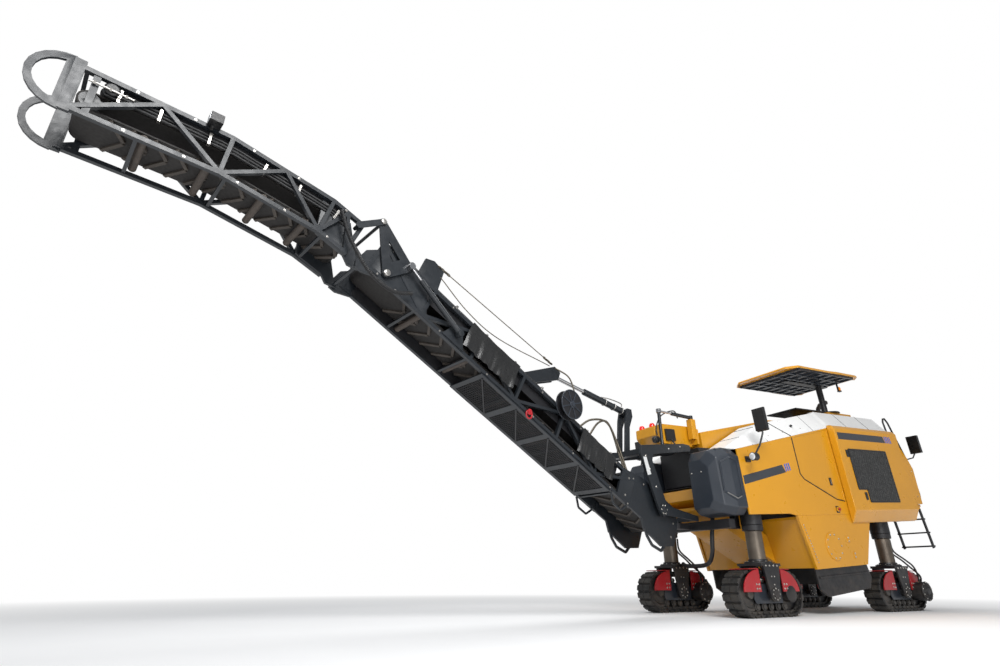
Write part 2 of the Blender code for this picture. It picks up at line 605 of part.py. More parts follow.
def canopy(parent):
    """Roof with a down-turned rim on one telescoping post; the origin is on the post's axis."""
    body = pivot("canopy_slide", parent, (POST_X, POST_Y, CANOPY_Z))
    half = (CANOPY_LEFT - CANOPY_RIGHT) / 2
    middle = (CANOPY_LEFT + CANOPY_RIGHT) / 2 - POST_Y
    front, rear = CANOPY_FRONT - POST_X, CANOPY_REAR - POST_X

    def ring(x, width, crown):
        pts = [(-width, -0.05), (-width + 0.02, 0.0), (-width * 0.6, crown), (width * 0.6, crown),
               (width - 0.02, 0.0), (width, -0.05), (width - 0.05, ROOF_UNDERSIDE), (-width + 0.05, ROOF_UNDERSIDE)]
        return [(x, middle + y, z) for y, z in pts]

    roof = loft([ring(rear, half - 0.14, 0.02), ring(rear + 0.16, half, 0.06), ring(rear + 0.75, half, 0.09),
                 ring(rear + 0.95, half - 0.02, 0.05), ring(front - 0.16, half - 0.02, 0.02),
                 ring(front, half - 0.18, 0.0)])
    node("canopy_roof", roof, "machine_yellow", body)
    under = ROOF_UNDERSIDE - FIT
    post = cylinder((0, 0, -0.90), (0, 0, under - 0.005), POST_RADIUS, 16)
    arm = box((-0.22, -0.06, under - 0.04), (1.10, 0.06, under))
    node("canopy_post", union(post, arm), "slate_grey", body)


def powertrain(parent):
    """Engine as one block under the platform, with its exhaust stack."""
    node("engine_block", box((-3.95, -0.55, 1.62), (-2.45, 0.55, PLATFORM_FLOOR - SHEET - FIT)), "bare_steel", parent)
    lift = PEDESTAL_TOP + FIT
    stack = tube([(-4.01, -0.06, lift), (-4.01, -0.06, lift + 0.16), (-4.02, -0.05, lift + 0.24),
                  (-4.06, -0.02, lift + 0.31), (-4.12, 0.02, lift + 0.35), (-4.19, 0.05, lift + 0.365)], 0.045)
    node("exhaust_pipe", stack, "bare_steel", parent)


def centre_tank(parent):
    """Yellow centre body between the shoulders, and the bracket that holds the slew pin."""
    outline = [(0.10, 2.02), (0.10, 2.58), (-1.70, 2.90), (PLATFORM_FRONT + 0.01, 2.90),
               (PLATFORM_FRONT + 0.01, 1.68), (-0.80, 1.68), (-0.30, 2.02)]
    node("centre_tank", plate(outline, -0.36, 0.36), "machine_yellow", parent)


def slew_bracket(parent):
    low, top = 2.36, 2.66
    beam = [(0.262, low), (0.262, top + 0.03), (0.92, top), (1.08, top - 0.06), (1.08, low + 0.10),
            (0.96, low)]
    body = plate(beam, -0.20, 0.20)
    foot = box((0.28, -0.34, low + 0.02), (0.32, 0.34, top - 0.04))
    base_x = SLEW_X + SLEW_BASE[0]
    stand = box((base_x - 0.05, SLEW_BASE[1] - 0.05, low + 0.10), (base_x + 0.05, SLEW_BASE[1] + 0.05,
                SLEW_BASE[2] - 0.03 - FIT))
    bore = cylinder((SLEW_X, 0, low - 0.1), (SLEW_X, 0, low + 0.14), 0.064, 16)
    node("slew_bracket", cut(union(body, foot, stand), bore), "machine_yellow", parent)


def drum_housing(parent):
    """Milling chamber: side plates with front, rear and top walls, open below."""
    edge = HALF_WIDTH
    outline = [(HOUSING_FRONT, HOUSING_BOTTOM), (-0.91, 1.19), (-0.90, HOUSING_TOP), (HOUSING_REAR_TOP, HOUSING_TOP),
               (HOUSING_REAR_TOP, 1.13), (HOUSING_REAR, HOUSING_BOTTOM)]
    sides = [plate(outline, s * (edge - 0.04), s * edge) for s in (-1, 1)]
    front = bar((HOUSING_WALL[0][0], 0, HOUSING_WALL[0][1]), (HOUSING_WALL[1][0], 0, HOUSING_WALL[1][1]),
                2 * edge - 0.02, 0.03)
    rear = bar((HOUSING_REAR + 0.04, 0, HOUSING_BOTTOM + 0.02), (HOUSING_REAR_TOP + 0.06, 0, HOUSING_TOP - 0.03),
               2 * edge - 0.02, 0.03)
    chamber = 2 * edge - 0.02
    top = box((HOUSING_REAR_TOP + 0.03, -chamber / 2, HOUSING_TOP - 0.05), (-0.93, chamber / 2, HOUSING_TOP - 0.01))
    window = box((-1.20, -0.30, 0.62), (-0.85, 0.30, 1.12))
    shell = cut(union(*sides, front, rear, top), window)
    node("drum_housing", shell, "machine_yellow", parent)


def milling_drum(parent):
    body = pivot("drum_axis", parent, (DRUM_X, 0, DRUM_Z - 0.13))
    drum = cylinder((0, -DRUM_LENGTH / 2, 0), (0, DRUM_LENGTH / 2, 0), DRUM_RADIUS - 0.07, 24)
    shaft = cylinder((0, -HALF_WIDTH + 0.04 + FIT, 0), (0, HALF_WIDTH - 0.04 - FIT, 0), 0.16, 20)
    node("milling_drum", union(drum, shaft), "track_steel", body)


def feed_conveyor(parent):
    """Closed trough that lifts the millings from the drum to the discharge conveyor."""
    low, high = Vector(HOUSING_WALL[0]), Vector(HOUSING_WALL[1])
    along = (high - low).normalized()
    out = Vector((along.y, -along.x)) * (0.015 + FIT)
    start = low + along * 0.08 + out
    shoulder = low + along * 0.50 + out
    end = Vector(FEED_END)
    depth = 0.34
    outline = [start, end, end + Vector((0.05, depth * 0.9)), end + Vector((-0.10, depth * 0.95)), shoulder]
    case = plate(outline, -0.36, 0.36)
    duct = plate([start + Vector((-0.05, 0.06)), end + Vector((0.30, 0.20)), end + Vector((0.30, depth * 0.8)),
                  shoulder + Vector((-0.05, -0.06))], -0.33, 0.33)
    node("feed_conveyor", cut(case, duct), "machine_yellow", parent)


def trims(parent):
    """Mirrors on brackets, rear handrails and the folding rear ladder."""
    for name, side in (("front_mirror_left", 1), ("front_mirror_right", -1)):
        base = HALF_WIDTH + FIT
        glass = box((-0.19, base + 0.16, 2.44), (-0.13, base + 0.34, 2.76))
        stalk = tube([(-0.02, base + 0.001, 2.06), (-0.02, base + 0.10, 2.06), (-0.06, base + 0.22, 2.22),
                      (-0.15, base + 0.25, 2.40), (-0.16, base + 0.25, 2.50)], 0.014)
        foot = box((-0.07, base, 2.02), (0.03, base + 0.02, 2.10))
        lamp = cylinder((0.04, base + 0.20, 2.06), (0.13, base + 0.20, 2.06), 0.055, 16)
        arm = bar((-0.02, base + 0.09, 2.06), (0.06, base + 0.20, 2.06), 0.02, 0.02)
        mirror = union(glass, stalk, foot, lamp, arm)
        node(name, on_side(mirror, side), "frame_black", parent)

    for name, side in (("rear_handrail_left", 1), ("rear_handrail_right", -1)):
        out = HALF_WIDTH - 0.05
        rail = tube([(-4.31, out, 2.33), (-4.24, out, 2.90), (-4.27, out, 2.96), (-4.33, out, 2.97),
                     (-4.40, out, 2.90), (-4.74, out, 2.05), (-4.745, out, 1.60), (-4.74, out, 1.55),
                     (-4.68, out, 1.52)], 0.016)
        lug_low = box((-4.72, out - 0.03, 1.50), (-4.60, HALF_WIDTH - SHEET - FIT, 1.55))
        stalk = tube([(-4.66, out, 2.22), (-4.72, out + 0.10, 2.24), (-4.74, out + 0.16, 2.34)], 0.012)
        glass = box((-4.78, out + 0.08, 2.32), (-4.72, out + 0.26, 2.62))
        node(name, on_side(union(rail, lug_low, stalk, glass), side), "frame_black", parent)

    ladder = pivot("ladder_hinge", parent, (LADDER_X, 0.66, LADDER_Z))
    stiles = [bar((0, s * 0.24, 0.02), (-0.10, s * 0.24, -0.72), 0.02, 0.06) for s in (-1, 1)]
    steps = [box((-0.16 + 0.03 * i, -0.25, -0.70 + 0.23 * i), (-0.03 + 0.02 * i, 0.25, -0.675 + 0.23 * i))
             for i in range(4)]
    node("rear_ladder", union(*stiles, *steps), "frame_black", ladder)


LADDER_X = BODY_REAR + 0.03
LADDER_Z = 1.40


# ---------------------------------------------------------------- slewing yoke and conveyor
def slew_yoke(parent):
    """Hub above and below the transfer point, joined by two side arms that carry the root pins."""
    pins_y = CONVEYOR_HALF + 0.045
    arm_out = pins_y + 0.035
    hub_low = cylinder((0, 0, 1.22 + FIT), (0, 0, 1.28), 0.12, 16)
    base = box((-0.05, -arm_out + 0.004, 1.235), (0.075, arm_out - 0.004, 1.286))
    hub_high = cylinder((0, 0, 2.24), (0, 0, 2.36 - FIT), 0.13, 16)
    spigot = cylinder((0, 0, 2.30), (0, 0, 2.46), 0.06, 16)
    arm = [(-0.05, 1.23), (ROOT_X - 0.10, ROOT_Z - 0.07), (ROOT_X + 0.02, ROOT_Z - 0.09),
           (ROOT_X + 0.09, ROOT_Z - 0.02), (1.20, 2.04), (1.16, 2.16), (0.10, 2.33), (-0.08, 2.33), (-0.08, 2.24),
           (0.90, 2.07), (0.94, 1.98), (ROOT_X - 0.10, ROOT_Z + 0.06), (-0.05, 1.30)]
    arms = [plate(arm, s * pins_y, s * arm_out) for s in (-1, 1)]
    brow = box((-0.07, -arm_out + 0.01, 2.25), (0.07, arm_out - 0.01, 2.32))
    header = box((1.02, -arm_out + 0.01, 2.05), (1.12, arm_out - 0.01, 2.13))
    horn_outline = [(1.02, 2.07), (1.12, 2.07), (1.04, 2.60), (LIFT_BASE[0] + 0.06, LIFT_BASE[1] + 0.05),
                    (LIFT_BASE[0] - 0.04, LIFT_BASE[1] + 0.05), (LIFT_BASE[0] - 0.05, LIFT_BASE[1] - 0.06),
                    (0.96, 2.50)]
    horns = [plate(horn_outline, s * LIFT_GAP, s * (LIFT_GAP + 0.03)) for s in (-1, 1)]
    root_pins = [cylinder((ROOT_X, s * (CONVEYOR_HALF + FIT), ROOT_Z), (ROOT_X, s * (arm_out - 0.005), ROOT_Z),
                          0.035, 16) for s in (-1, 1)]
    slew_lug = box((SLEW_EYE[0] - 0.05, SLEW_EYE[1] - 0.05, 2.22), (SLEW_EYE[0] + 0.05, pins_y + 0.01, 2.27))
    slew_post = cylinder((SLEW_EYE[0], SLEW_EYE[1], 2.25), (SLEW_EYE[0], SLEW_EYE[1], SLEW_BASE[2] - 0.03 - FIT), 0.025, 12)
    yoke = union(hub_low, base, hub_high, spigot, *arms, brow, header, *horns, *root_pins, slew_lug,
                 slew_post)
    node("slew_yoke", yoke, "slate_grey", parent)


def inset(corners, margin):
    """A convex polygon with every edge moved inwards by a margin."""
    corners = [Vector(c) for c in corners]
    area = sum(a.cross(b) for a, b in zip(corners, corners[1:] + corners[:1]))
    if area < 0:
        corners.reverse()
    lines = []
    for a, b in zip(corners, corners[1:] + corners[:1]):
        along = (b - a).normalized()
        lines.append((a + Vector((-along.y, along.x)) * margin, along))
    out = []
    for (p, u), (q, v) in zip(lines[-1:] + lines[:-1], lines):
        t = (q - p).cross(v) / u.cross(v)
        out.append(tuple(p + u * t))
    return out


def side_frame(side, start, end, low, depth, bays):
    """One side truss of the straight lower conveyor: chords, posts and diagonals in one plane."""
    high = low + depth
    half = CHORD / 2
    step = (end - start - CHORD) / bays
    windows = []
    for i in range(bays):
        a, b = start + half + step * i, start + half + step * (i + 1)
        p, q, r, t = (a, low + half), (b, low + half), (b, high - half), (a, high - half)
        cells = ((p, q, r), (p, r, t)) if i % 2 else ((p, q, t), (q, r, t))
        windows += [inset(cell, half * 0.85) for cell in cells]
    outline = [(start, low), (end, low), (end, high), (start, high)]
    return plate(outline, side * (CONVEYOR_HALF - CHORD), side * CONVEYOR_HALF, holes=windows)


def lower_conveyor(parent):
    low, high = CHORD_LOW, CHORD_LOW + LOWER_DEPTH
    end = HINGE_S - 0.06
    inner = CONVEYOR_HALF - CHORD
    pieces = []
    for s in (-1, 1):
        pieces.append(side_frame(s, 0.55, end, low, LOWER_DEPTH, 6))
        web = [(TAIL_END, low + 0.02), (TAIL_END, high - 0.08), (TAIL_END + 0.12, high + 0.10), (0.45, high + 0.10),
               (0.85, high - 0.005), (0.85, low + 0.005), (0.30, low + 0.005), (0.20, low - 0.10), (-0.20, low - 0.12)]
        pieces.append(plate(web, s * (CONVEYOR_HALF - 0.034), s * (CONVEYOR_HALF - 0.002)))
        knee = [(4.25, low + 0.03), (4.45, high - 0.02), (4.95, high + 0.02), (HINGE_S + 0.03, low + 0.16),
                (HINGE_S + 0.05, low - 0.02), (HINGE_S + 0.02, low - 0.09), (HINGE_S - 0.06, low - 0.09), (4.90, low + 0.01)]
        pieces.append(plate(knee, s * (CONVEYOR_HALF - 0.036), s * (CONVEYOR_HALF - 0.006)))
    for x in (0.9, 1.9, 2.9, 3.6, 4.4):
        pieces.append(bar((x, -inner - 0.01, low + 0.02), (x, inner + 0.01, low + 0.02), 0.03, 0.03))
    for x in (0.75, 2.6, 4.3):
        pieces.append(bar((x, -inner - 0.01, high - 0.02), (x, inner + 0.01, high - 0.02), 0.03, 0.03))
    arm = [(2.60, high - 0.03), (2.82, high - 0.03), (2.76, 0.28), (LIFT_EYE[0] + 0.08, LIFT_EYE[1] + 0.08),
           (LIFT_EYE[0] - 0.04, LIFT_EYE[1] + 0.07), (LIFT_EYE[0] - 0.05, LIFT_EYE[1] - 0.05), (2.62, 0.22)]
    pieces += [plate(arm, s * LIFT_GAP, s * (LIFT_GAP + 0.025)) for s in (-1, 1)]
    pieces.append(box((2.58, -inner - 0.01, high - 0.036), (2.84, inner + 0.01, high - 0.008)))
    anchor = [(4.30, high - 0.02), (4.60, high - 0.02), (4.62, 0.36), (4.52, 0.42), (4.36, 0.40)]
    pieces += [plate(anchor, s * (CONVEYOR_HALF - 0.036), s * (CONVEYOR_HALF - 0.012)) for s in (-1, 1)]
    for x in (BELT_TAIL, end - 0.10):
        pieces += belt_drum((x, BELT_LINE), LOWER_BELT_RADIUS, 0)
    for s in (-1, 1):
        pieces.append(cylinder((FOLD_BASE[0], s * (CONVEYOR_HALF - 0.02), FOLD_BASE[1]),
                               (FOLD_BASE[0], s * (RAM_Y - RAM_RADIUS - FIT), FOLD_BASE[1]), 0.03, 12))
        pieces.append(plate([(3.70, low + 0.02), (4.02, low + 0.02), (3.95, -0.11), (3.79, -0.11)],
                            s * (CONVEYOR_HALF - 0.03), s * (CONVEYOR_HALF + 0.012)))
        pieces.append(cylinder((ROCKER_PIVOT[0], s * (CONVEYOR_HALF - 0.03), ROCKER_PIVOT[1]),
                               (ROCKER_PIVOT[0], s * (ROCKER_LAYER - FIT), ROCKER_PIVOT[1]), 0.03, 12))
    pieces.append(plate([(REEL[0] - 0.11, high - 0.04), (REEL[0] + 0.11, high - 0.04), (REEL[0] + 0.05, REEL[1] + 0.05),
                         (REEL[0] - 0.05, REEL[1] + 0.05)], CONVEYOR_HALF - 0.036, CONVEYOR_HALF + 0.012))
    frame = union(*pieces)
    node("lower_conveyor_frame", frame, "slate_grey", parent)

    line = [(BELT_TAIL, BELT_LINE), (end - 0.10, BELT_LINE)]
    node("lower_belt", belt_loop(line, LOWER_BELT_RADIUS), "belt_rubber", parent)

    sheet = plate([(0.98, -CONVEYOR_HALF + 0.01), (3.36, -CONVEYOR_HALF + 0.01), (3.36, CONVEYOR_HALF - 0.01),
                   (0.98, CONVEYOR_HALF - 0.01)], low - 0.020, low - FIT, plane="xy",
                  holes=[[(x0, -0.25), (x0 + 0.50, -0.25), (x0 + 0.50, 0.25), (x0, 0.25)]
                         for x0 in (1.06, 1.64, 2.22, 2.80)])
    node("belt_guard", sheet, "frame_black", parent)


BELT_TAIL = -0.18                 # tail drum, along the lower conveyor
BELT_LINE = -0.08                 # middle of the belt, from the root pin
LOWER_BELT_RADIUS = 0.10
UPPER_BELT_RADIUS = 0.09
BELT_SHEET = 0.014
BELT_ARC = 8                      # facets around each drum


def belt_drum(centre, radius, heading):
    """Drum and shaft inside a belt's turn, with its facets parallel to the belt's."""
    ring = arc(centre, radius - BELT_SHEET - 2 * FIT, heading + 90, heading + 450, 2 * BELT_ARC)[:-1]
    drum = plate(ring, -BELT_HALF, BELT_HALF)
    reach = CONVEYOR_HALF - CHORD + 0.02
    shaft = cylinder((centre[0], -reach, centre[1]), (centre[0], reach, centre[1]), 0.025, 8)
    return [drum, shaft]


def belt_loop(path, radius):
    """A closed belt that runs around two end drums and follows the given middle line."""
    half = BELT_HALF
    t = BELT_SHEET
    first, last = path[0], path[-1]
    head = math.degrees(math.atan2(last[1] - path[-2][1], last[0] - path[-2][0]))
    tail = math.degrees(math.atan2(path[1][1] - first[1], path[1][0] - first[0]))

    def around(r):
        top = []
        for i in range(1, len(path) - 1):
            a = math.atan2(path[i][1] - path[i - 1][1], path[i][0] - path[i - 1][0])
            b = math.atan2(path[i + 1][1] - path[i][1], path[i + 1][0] - path[i][0])
            m = (a + b) / 2
            k = r / math.cos((b - a) / 2)
            top.append((path[i], (-math.sin(m) * k, math.cos(m) * k)))
        upper = [(p[0] + o[0], p[1] + o[1]) for p, o in top]
        lower = [(p[0] - o[0], p[1] - o[1]) for p, o in top]
        return (arc(first, r, tail + 270, tail + 90, BELT_ARC) + upper
                + arc(last, r, head + 90, head - 90, BELT_ARC) + lower[::-1])

    return plate(around(radius), -half, half, holes=[around(radius - t)])


def runs_path(offset, start=0.0, stop=0.0):
    """Points at a height above the upper conveyor's lower edge, with the ends pulled in."""
    points = [(0.0, 0.0)]
    angles = []
    for length, incline in UPPER_RUNS:
        a = math.radians(incline)
        x, z = points[-1]
        points.append((x + length * math.cos(a), z + length * math.sin(a)))
        angles.append(a)
    out = []
    for i, (x, z) in enumerate(points):
        if i == 0:
            m, k = angles[0], offset
            x, z = x + start * math.cos(m), z + start * math.sin(m)
        elif i == len(points) - 1:
            m, k = angles[-1], offset
            x, z = x - stop * math.cos(m), z - stop * math.sin(m)
        else:
            m = (angles[i - 1] + angles[i]) / 2
            k = offset / math.cos((angles[i] - angles[i - 1]) / 2)
        out.append((x - k * math.sin(m), z + k * math.cos(m)))
    return out


def upper_belt_line():
    return runs_path(0.215, start=0.26, stop=0.14)


def curved_frame(side):
    """One side truss of the upper conveyor, bent in the same runs as its belt."""
    bottoms = runs_path(0.0, start=UPPER_FRAME_START)
    tops = runs_path(UPPER_DEPTH, start=UPPER_FRAME_START)
    low = runs_path(CHORD / 2, start=UPPER_FRAME_START + CHORD / 2, stop=CHORD / 2)
    high = runs_path(UPPER_DEPTH - CHORD / 2, start=UPPER_FRAME_START + CHORD / 2, stop=CHORD / 2)
    windows = []
    for a, c, b, d in zip(low, low[1:], high, high[1:]):
        m = ((b[0] + d[0]) / 2, (b[1] + d[1]) / 2)
        windows += [inset(cell, CHORD * 0.42) for cell in ((a, m, b), (a, c, m), (c, d, m))]
    return plate(bottoms + tops[::-1], side * (CONVEYOR_HALF - CHORD), side * CONVEYOR_HALF, holes=windows)


def upper_conveyor(parent):
    inner = CONVEYOR_HALF - CHORD
    depth = UPPER_DEPTH
    pieces = []
    for s in (-1, 1):
        pieces.append(curved_frame(s))
        web = [(0.02, 0.075), (0.12, 0.46), (0.44, 0.60), (0.46, 0.20), (0.16, 0.07), (0.10, -0.02), (-0.02, -0.035),
               (-0.035, 0.02)]
        pieces.append(plate(web, s * (CONVEYOR_HALF - 0.075), s * (CONVEYOR_HALF - 0.042)))
    for station in (0.45, 1.4, 2.1):
        x, z = run_point(station, 0.022)
        pieces.append(bar((x, -inner - 0.01, z), (x, inner + 0.01, z), 0.03, 0.03))
    for station in (0.6, 2.0, 2.55):
        x, z = run_point(station, depth - 0.022)
        pieces.append(bar((x, -inner - 0.01, z), (x, inner + 0.01, z), 0.03, 0.03))
    pieces.append(cylinder((0, -CONVEYOR_HALF + 0.038 + FIT, 0), (0, CONVEYOR_HALF - 0.038 - FIT, 0), 0.02, 12))
    tip_x, tip_z = run_point(sum(r[0] for r in UPPER_RUNS), 0.22)
    for s in (-1, 1):
        ring = plate(arc((tip_x + 0.02, tip_z + 0.02), 0.27, -90, 90, 12), s * (CONVEYOR_HALF - 0.03), s * (CONVEYOR_HALF - 0.005),
                     holes=[arc((tip_x + 0.04, tip_z + 0.02), 0.20, -80, 80, 10)])
        pieces.append(ring)
        pieces.append(bar((tip_x - 0.01, s * (CONVEYOR_HALF - 0.017), tip_z - 0.24),
                          (tip_x - 0.01, s * (CONVEYOR_HALF - 0.017), tip_z + 0.28), 0.032, 0.08))
    pin_x, pin_z = link_eye_local()
    for s in (-1, 1):
        pieces.append(cylinder((pin_x, s * (CONVEYOR_HALF - 0.06), pin_z), (pin_x, s * (ROCKER_LAYER + ROCKER_PLATE), pin_z),
                               0.02, 12))
    line = upper_belt_line()
    headings = [math.degrees(math.atan2(b[1] - a[1], b[0] - a[0])) for a, b in (line[:2], line[-2:])]
    for centre, heading in zip((line[0], line[-1]), headings):
        pieces += belt_drum(centre, UPPER_BELT_RADIUS, heading)
    for s in (-1, 1):
        y = s * (CONVEYOR_HALF - CHORD / 2)
        pieces.append(bar((line[-1][0], y, line[-1][1] - 0.19), (line[-1][0], y, line[-1][1] + 0.21), 0.03, 0.05))
    node("upper_conveyor_frame", union(*pieces), "slate_grey", parent)
    node("upper_belt", belt_loop(line, UPPER_BELT_RADIUS), "belt_rubber", parent)


def run_point(distance, offset):
    """A point at a distance along the upper conveyor and a height above its lower edge."""
    x, z = 0.0, 0.0
    for length, incline in UPPER_RUNS:
        a = math.radians(incline)
        step = min(distance, length)
        x, z = x + step * math.cos(a), z + step * math.sin(a)
        distance -= step
        if distance <= 1e-9:
            break
    return x - offset * math.sin(a), z + offset * math.cos(a)


HINGE_N = CHORD_LOW - 0.05


def link_eye_local():
    """The link's pin in the upper conveyor's own frame, which is level along the conveyor."""
    ds, dn = LINK_EYE[0] - HINGE_S, LINK_EYE[1] - HINGE_N
    a = math.radians(INCLINE)
    return ds * math.cos(a) - dn * math.sin(a), ds * math.sin(a) + dn * math.cos(a)


ROCKER_LAYER = CONVEYOR_HALF + 0.012      # inner face of the rocker plates
ROCKER_PLATE = 0.018
LINK_PLATE = 0.016
RAM_RADIUS = 0.032
RAM_Y = ROCKER_LAYER + ROCKER_PLATE + 2 * FIT + RAM_RADIUS


def fold_linkage(lower):
    """Rocker frame, link frame and two cylinders, in layers outside the side frames."""
    top = (ROCKER_TOP[0] - ROCKER_PIVOT[0], ROCKER_TOP[1] - ROCKER_PIVOT[1])
    corner = (ROCKER_CORNER[0] - ROCKER_PIVOT[0], ROCKER_CORNER[1] - ROCKER_PIVOT[1])
    rocker = pivot("rocker_pivot", lower, (ROCKER_PIVOT[0], 0, ROCKER_PIVOT[1]))
    near, far = ROCKER_LAYER, ROCKER_LAYER + ROCKER_PLATE
    centre = ((top[0] + corner[0]) / 3, (top[1] + corner[1]) / 3)
    window = [(centre[0] + (p[0] - centre[0]) * 0.42, centre[1] + (p[1] - centre[1]) * 0.42)
              for p in ((0, 0), top, corner)]
    cheeks = [plate(rounded_triangle(((0, 0), top, corner), 0.045), s * near, s * far, holes=[window])
              for s in (-1, 1)]
    tie = cylinder((top[0], -near - 0.005, top[1]), (top[0], near + 0.005, top[1]), 0.018, 12)
    node("fold_rocker", union(*cheeks, tie), "slate_grey", rocker)

    reach = (LINK_EYE[0] - ROCKER_TOP[0], LINK_EYE[1] - ROCKER_TOP[1])
    link = pivot("link_pivot", rocker, (top[0], 0, top[1]))
    near = far + FIT
    straps = [plate(capsule((0, 0), reach, 0.035), s * near, s * (near + LINK_PLATE)) for s in (-1, 1)]
    for label, strap in (("left", straps[1]), ("right", straps[0])):
        node("fold_link_" + label, strap, "slate_grey", link)

    base = pivot("fold_cylinder_base", lower, (FOLD_BASE[0], 0, FOLD_BASE[1]))
    stroke = (ROCKER_CORNER[0] - FOLD_BASE[0], ROCKER_CORNER[1] - FOLD_BASE[1])
    for label, s in (("left", 1), ("right", -1)):
        ram("fold_cylinder", label, base, (0, s * RAM_Y, 0), (stroke[0], s * RAM_Y, stroke[1]), RAM_RADIUS,
            0.80, 0.10, (0, 1, 0))


def ram(name, label, parent, start, end, radius, share, tail_share, axis):
    """Barrel with a bore and an eye at its base, and the rod that slides in it, with an eye at its end.

    The barrel ends at share of the distance between the eyes, and the rod's inner end is at tail_share.
    """
    start, end, axis = Vector(start), Vector(end), Vector(axis)
    along = (end - start).normalized()
    length = (end - start).length
    suffix = "_" + label if label else ""
    eye = radius * 1.25
    mouth = start + along * length * share
    barrel = union(cylinder(start + along * eye * 0.6, mouth, radius * 0.93, 16),
                   cylinder(start - axis * radius, start + axis * radius, eye, 16))
    rod_radius = radius * 0.52
    bore = cylinder(start + along * eye * 1.8, mouth + along * 0.05, rod_radius + FIT, 12)
    node(name + "_barrel" + suffix, cut(barrel, bore), "slate_grey", parent)
    tail = start + along * length * tail_share
    rod = union(cylinder(tail, end - along * eye * 0.4, rod_radius, 12),
                cylinder(end - axis * radius, end + axis * radius, eye, 16))
    node(name + "_rod" + suffix, rod, "chrome_rod", parent)


def lift_cylinder(slew):
    a = math.radians(INCLINE)
    eye = (ROOT_X + LIFT_EYE[0] * math.cos(a) - LIFT_EYE[1] * math.sin(a), ROOT_Z + LIFT_EYE[0] * math.sin(a)
           + LIFT_EYE[1] * math.cos(a))
    base = pivot("lift_cylinder_base", slew, (LIFT_BASE[0], 0, LIFT_BASE[1]))
    ram("lift_cylinder", "", base, (0, 0, 0), (eye[0] - LIFT_BASE[0], 0, eye[1] - LIFT_BASE[1]),
        LIFT_GAP - FIT, 0.60, 0.27, (0, 1, 0))


def slew_cylinder(machine):
    a = math.radians(SLEW_REST)
    eye = (SLEW_EYE[0] * math.cos(a) - SLEW_EYE[1] * math.sin(a), SLEW_EYE[0] * math.sin(a)
           + SLEW_EYE[1] * math.cos(a))
    base = pivot("slew_cylinder_base", machine, (SLEW_X + SLEW_BASE[0], SLEW_BASE[1], SLEW_BASE[2]))
    ram("slew_cylinder", "", base, (0, 0, 0), (eye[0] - SLEW_BASE[0], eye[1] - SLEW_BASE[1], 0), 0.03, 0.60, 0.30,
        (0, 0, 1))


def hose_reel(lift):
    body = pivot("reel_axis", lift, (REEL[0], CONVEYOR_HALF, REEL[1]))
    drum = cylinder((0, 0.012 + FIT, 0), (0, 0.10, 0), 0.09, 12)
    rims = [cylinder((0, y, 0), (0, y + 0.012, 0), 0.19, 20) for y in (0.012 + FIT, 0.09)]
    node("hose_reel", union(drum, *rims), "frame_black", body)


def rounded_triangle(corners, radius):
    """Outline around three pins, counter-clockwise, with round corners."""
    corners = [Vector(c) for c in corners]
    if (corners[1] - corners[0]).cross(corners[2] - corners[0]) < 0:
        corners.reverse()
    points = []
    for i, corner in enumerate(corners):
        into = corner - corners[i - 1]
        away = corners[(i + 1) % 3] - corner
        first = math.degrees(math.atan2(-into.x, into.y))
        last = math.degrees(math.atan2(-away.x, away.y))
        points += arc(corner, radius, first, last + (360 if last < first else 0), 4)
    return points


def capsule(start, end, radius):
    """Outline of a flat link with round ends."""
    along = math.degrees(math.atan2(end[1] - start[1], end[0] - start[0]))
    return arc(end, radius, along - 90, along + 90, 6) + arc(start, radius, along + 90, along + 270, 6)


def build():
    machine = pivot("machine_origin", None, (-ORIGIN_X, -ORIGIN_Y, 0))
    body = pivot("body", machine, turn=(0, BODY_TILT, 0))
    main_frame(machine)
    for corner, x, side, motor in (("front_left", 0, 1, -1), ("front_right", 0, -1, 1),
                                   ("rear_left", -WHEELBASE, 1, 1), ("rear_right", -WHEELBASE, -1, -1)):
        leg(corner, x, side, machine, motor)
    for name, side in (("left", 1), ("right", -1)):
        side_panel(body, "side_panel_" + name, side)
        side_door(body, "side_door_" + name, side)
        air_door(body, "air_door_" + name, side)
        bumper(body, "front_bumper_" + name, side)
        hood(body, "hood_" + name, side)
    rear_body(body)
    operator_station(body)
    canopy(body)
    powertrain(body)
    centre_tank(body)
    drum_housing(body)
    milling_drum(body)
    feed_conveyor(body)
    slew_bracket(machine)
    trims(body)
    slew = pivot("slew", machine, (SLEW_X, 0, 0), (0, 0, SLEW_REST))
    slew_yoke(slew)
    lift = pivot("lift", slew, (ROOT_X, 0, ROOT_Z), (0, -INCLINE, 0))
    lower_conveyor(lift)
    fold = pivot("fold", lift, (HINGE_S, 0, HINGE_N), (0, INCLINE, 0))
    upper_conveyor(fold)
    fold_linkage(lift)
    lift_cylinder(slew)
    slew_cylinder(machine)
    hose_reel(lift)


clear_scene()
MACHINE = bpy.data.collections.new("cold_planer")
bpy.context.scene.collection.children.link(MACHINE)
build()
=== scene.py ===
"""Looks of the cold planer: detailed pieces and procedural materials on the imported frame."""
import json
from math import cos, degrees, pi, radians, sin, tau

import bmesh
import bpy
from mathutils import Matrix, Vector


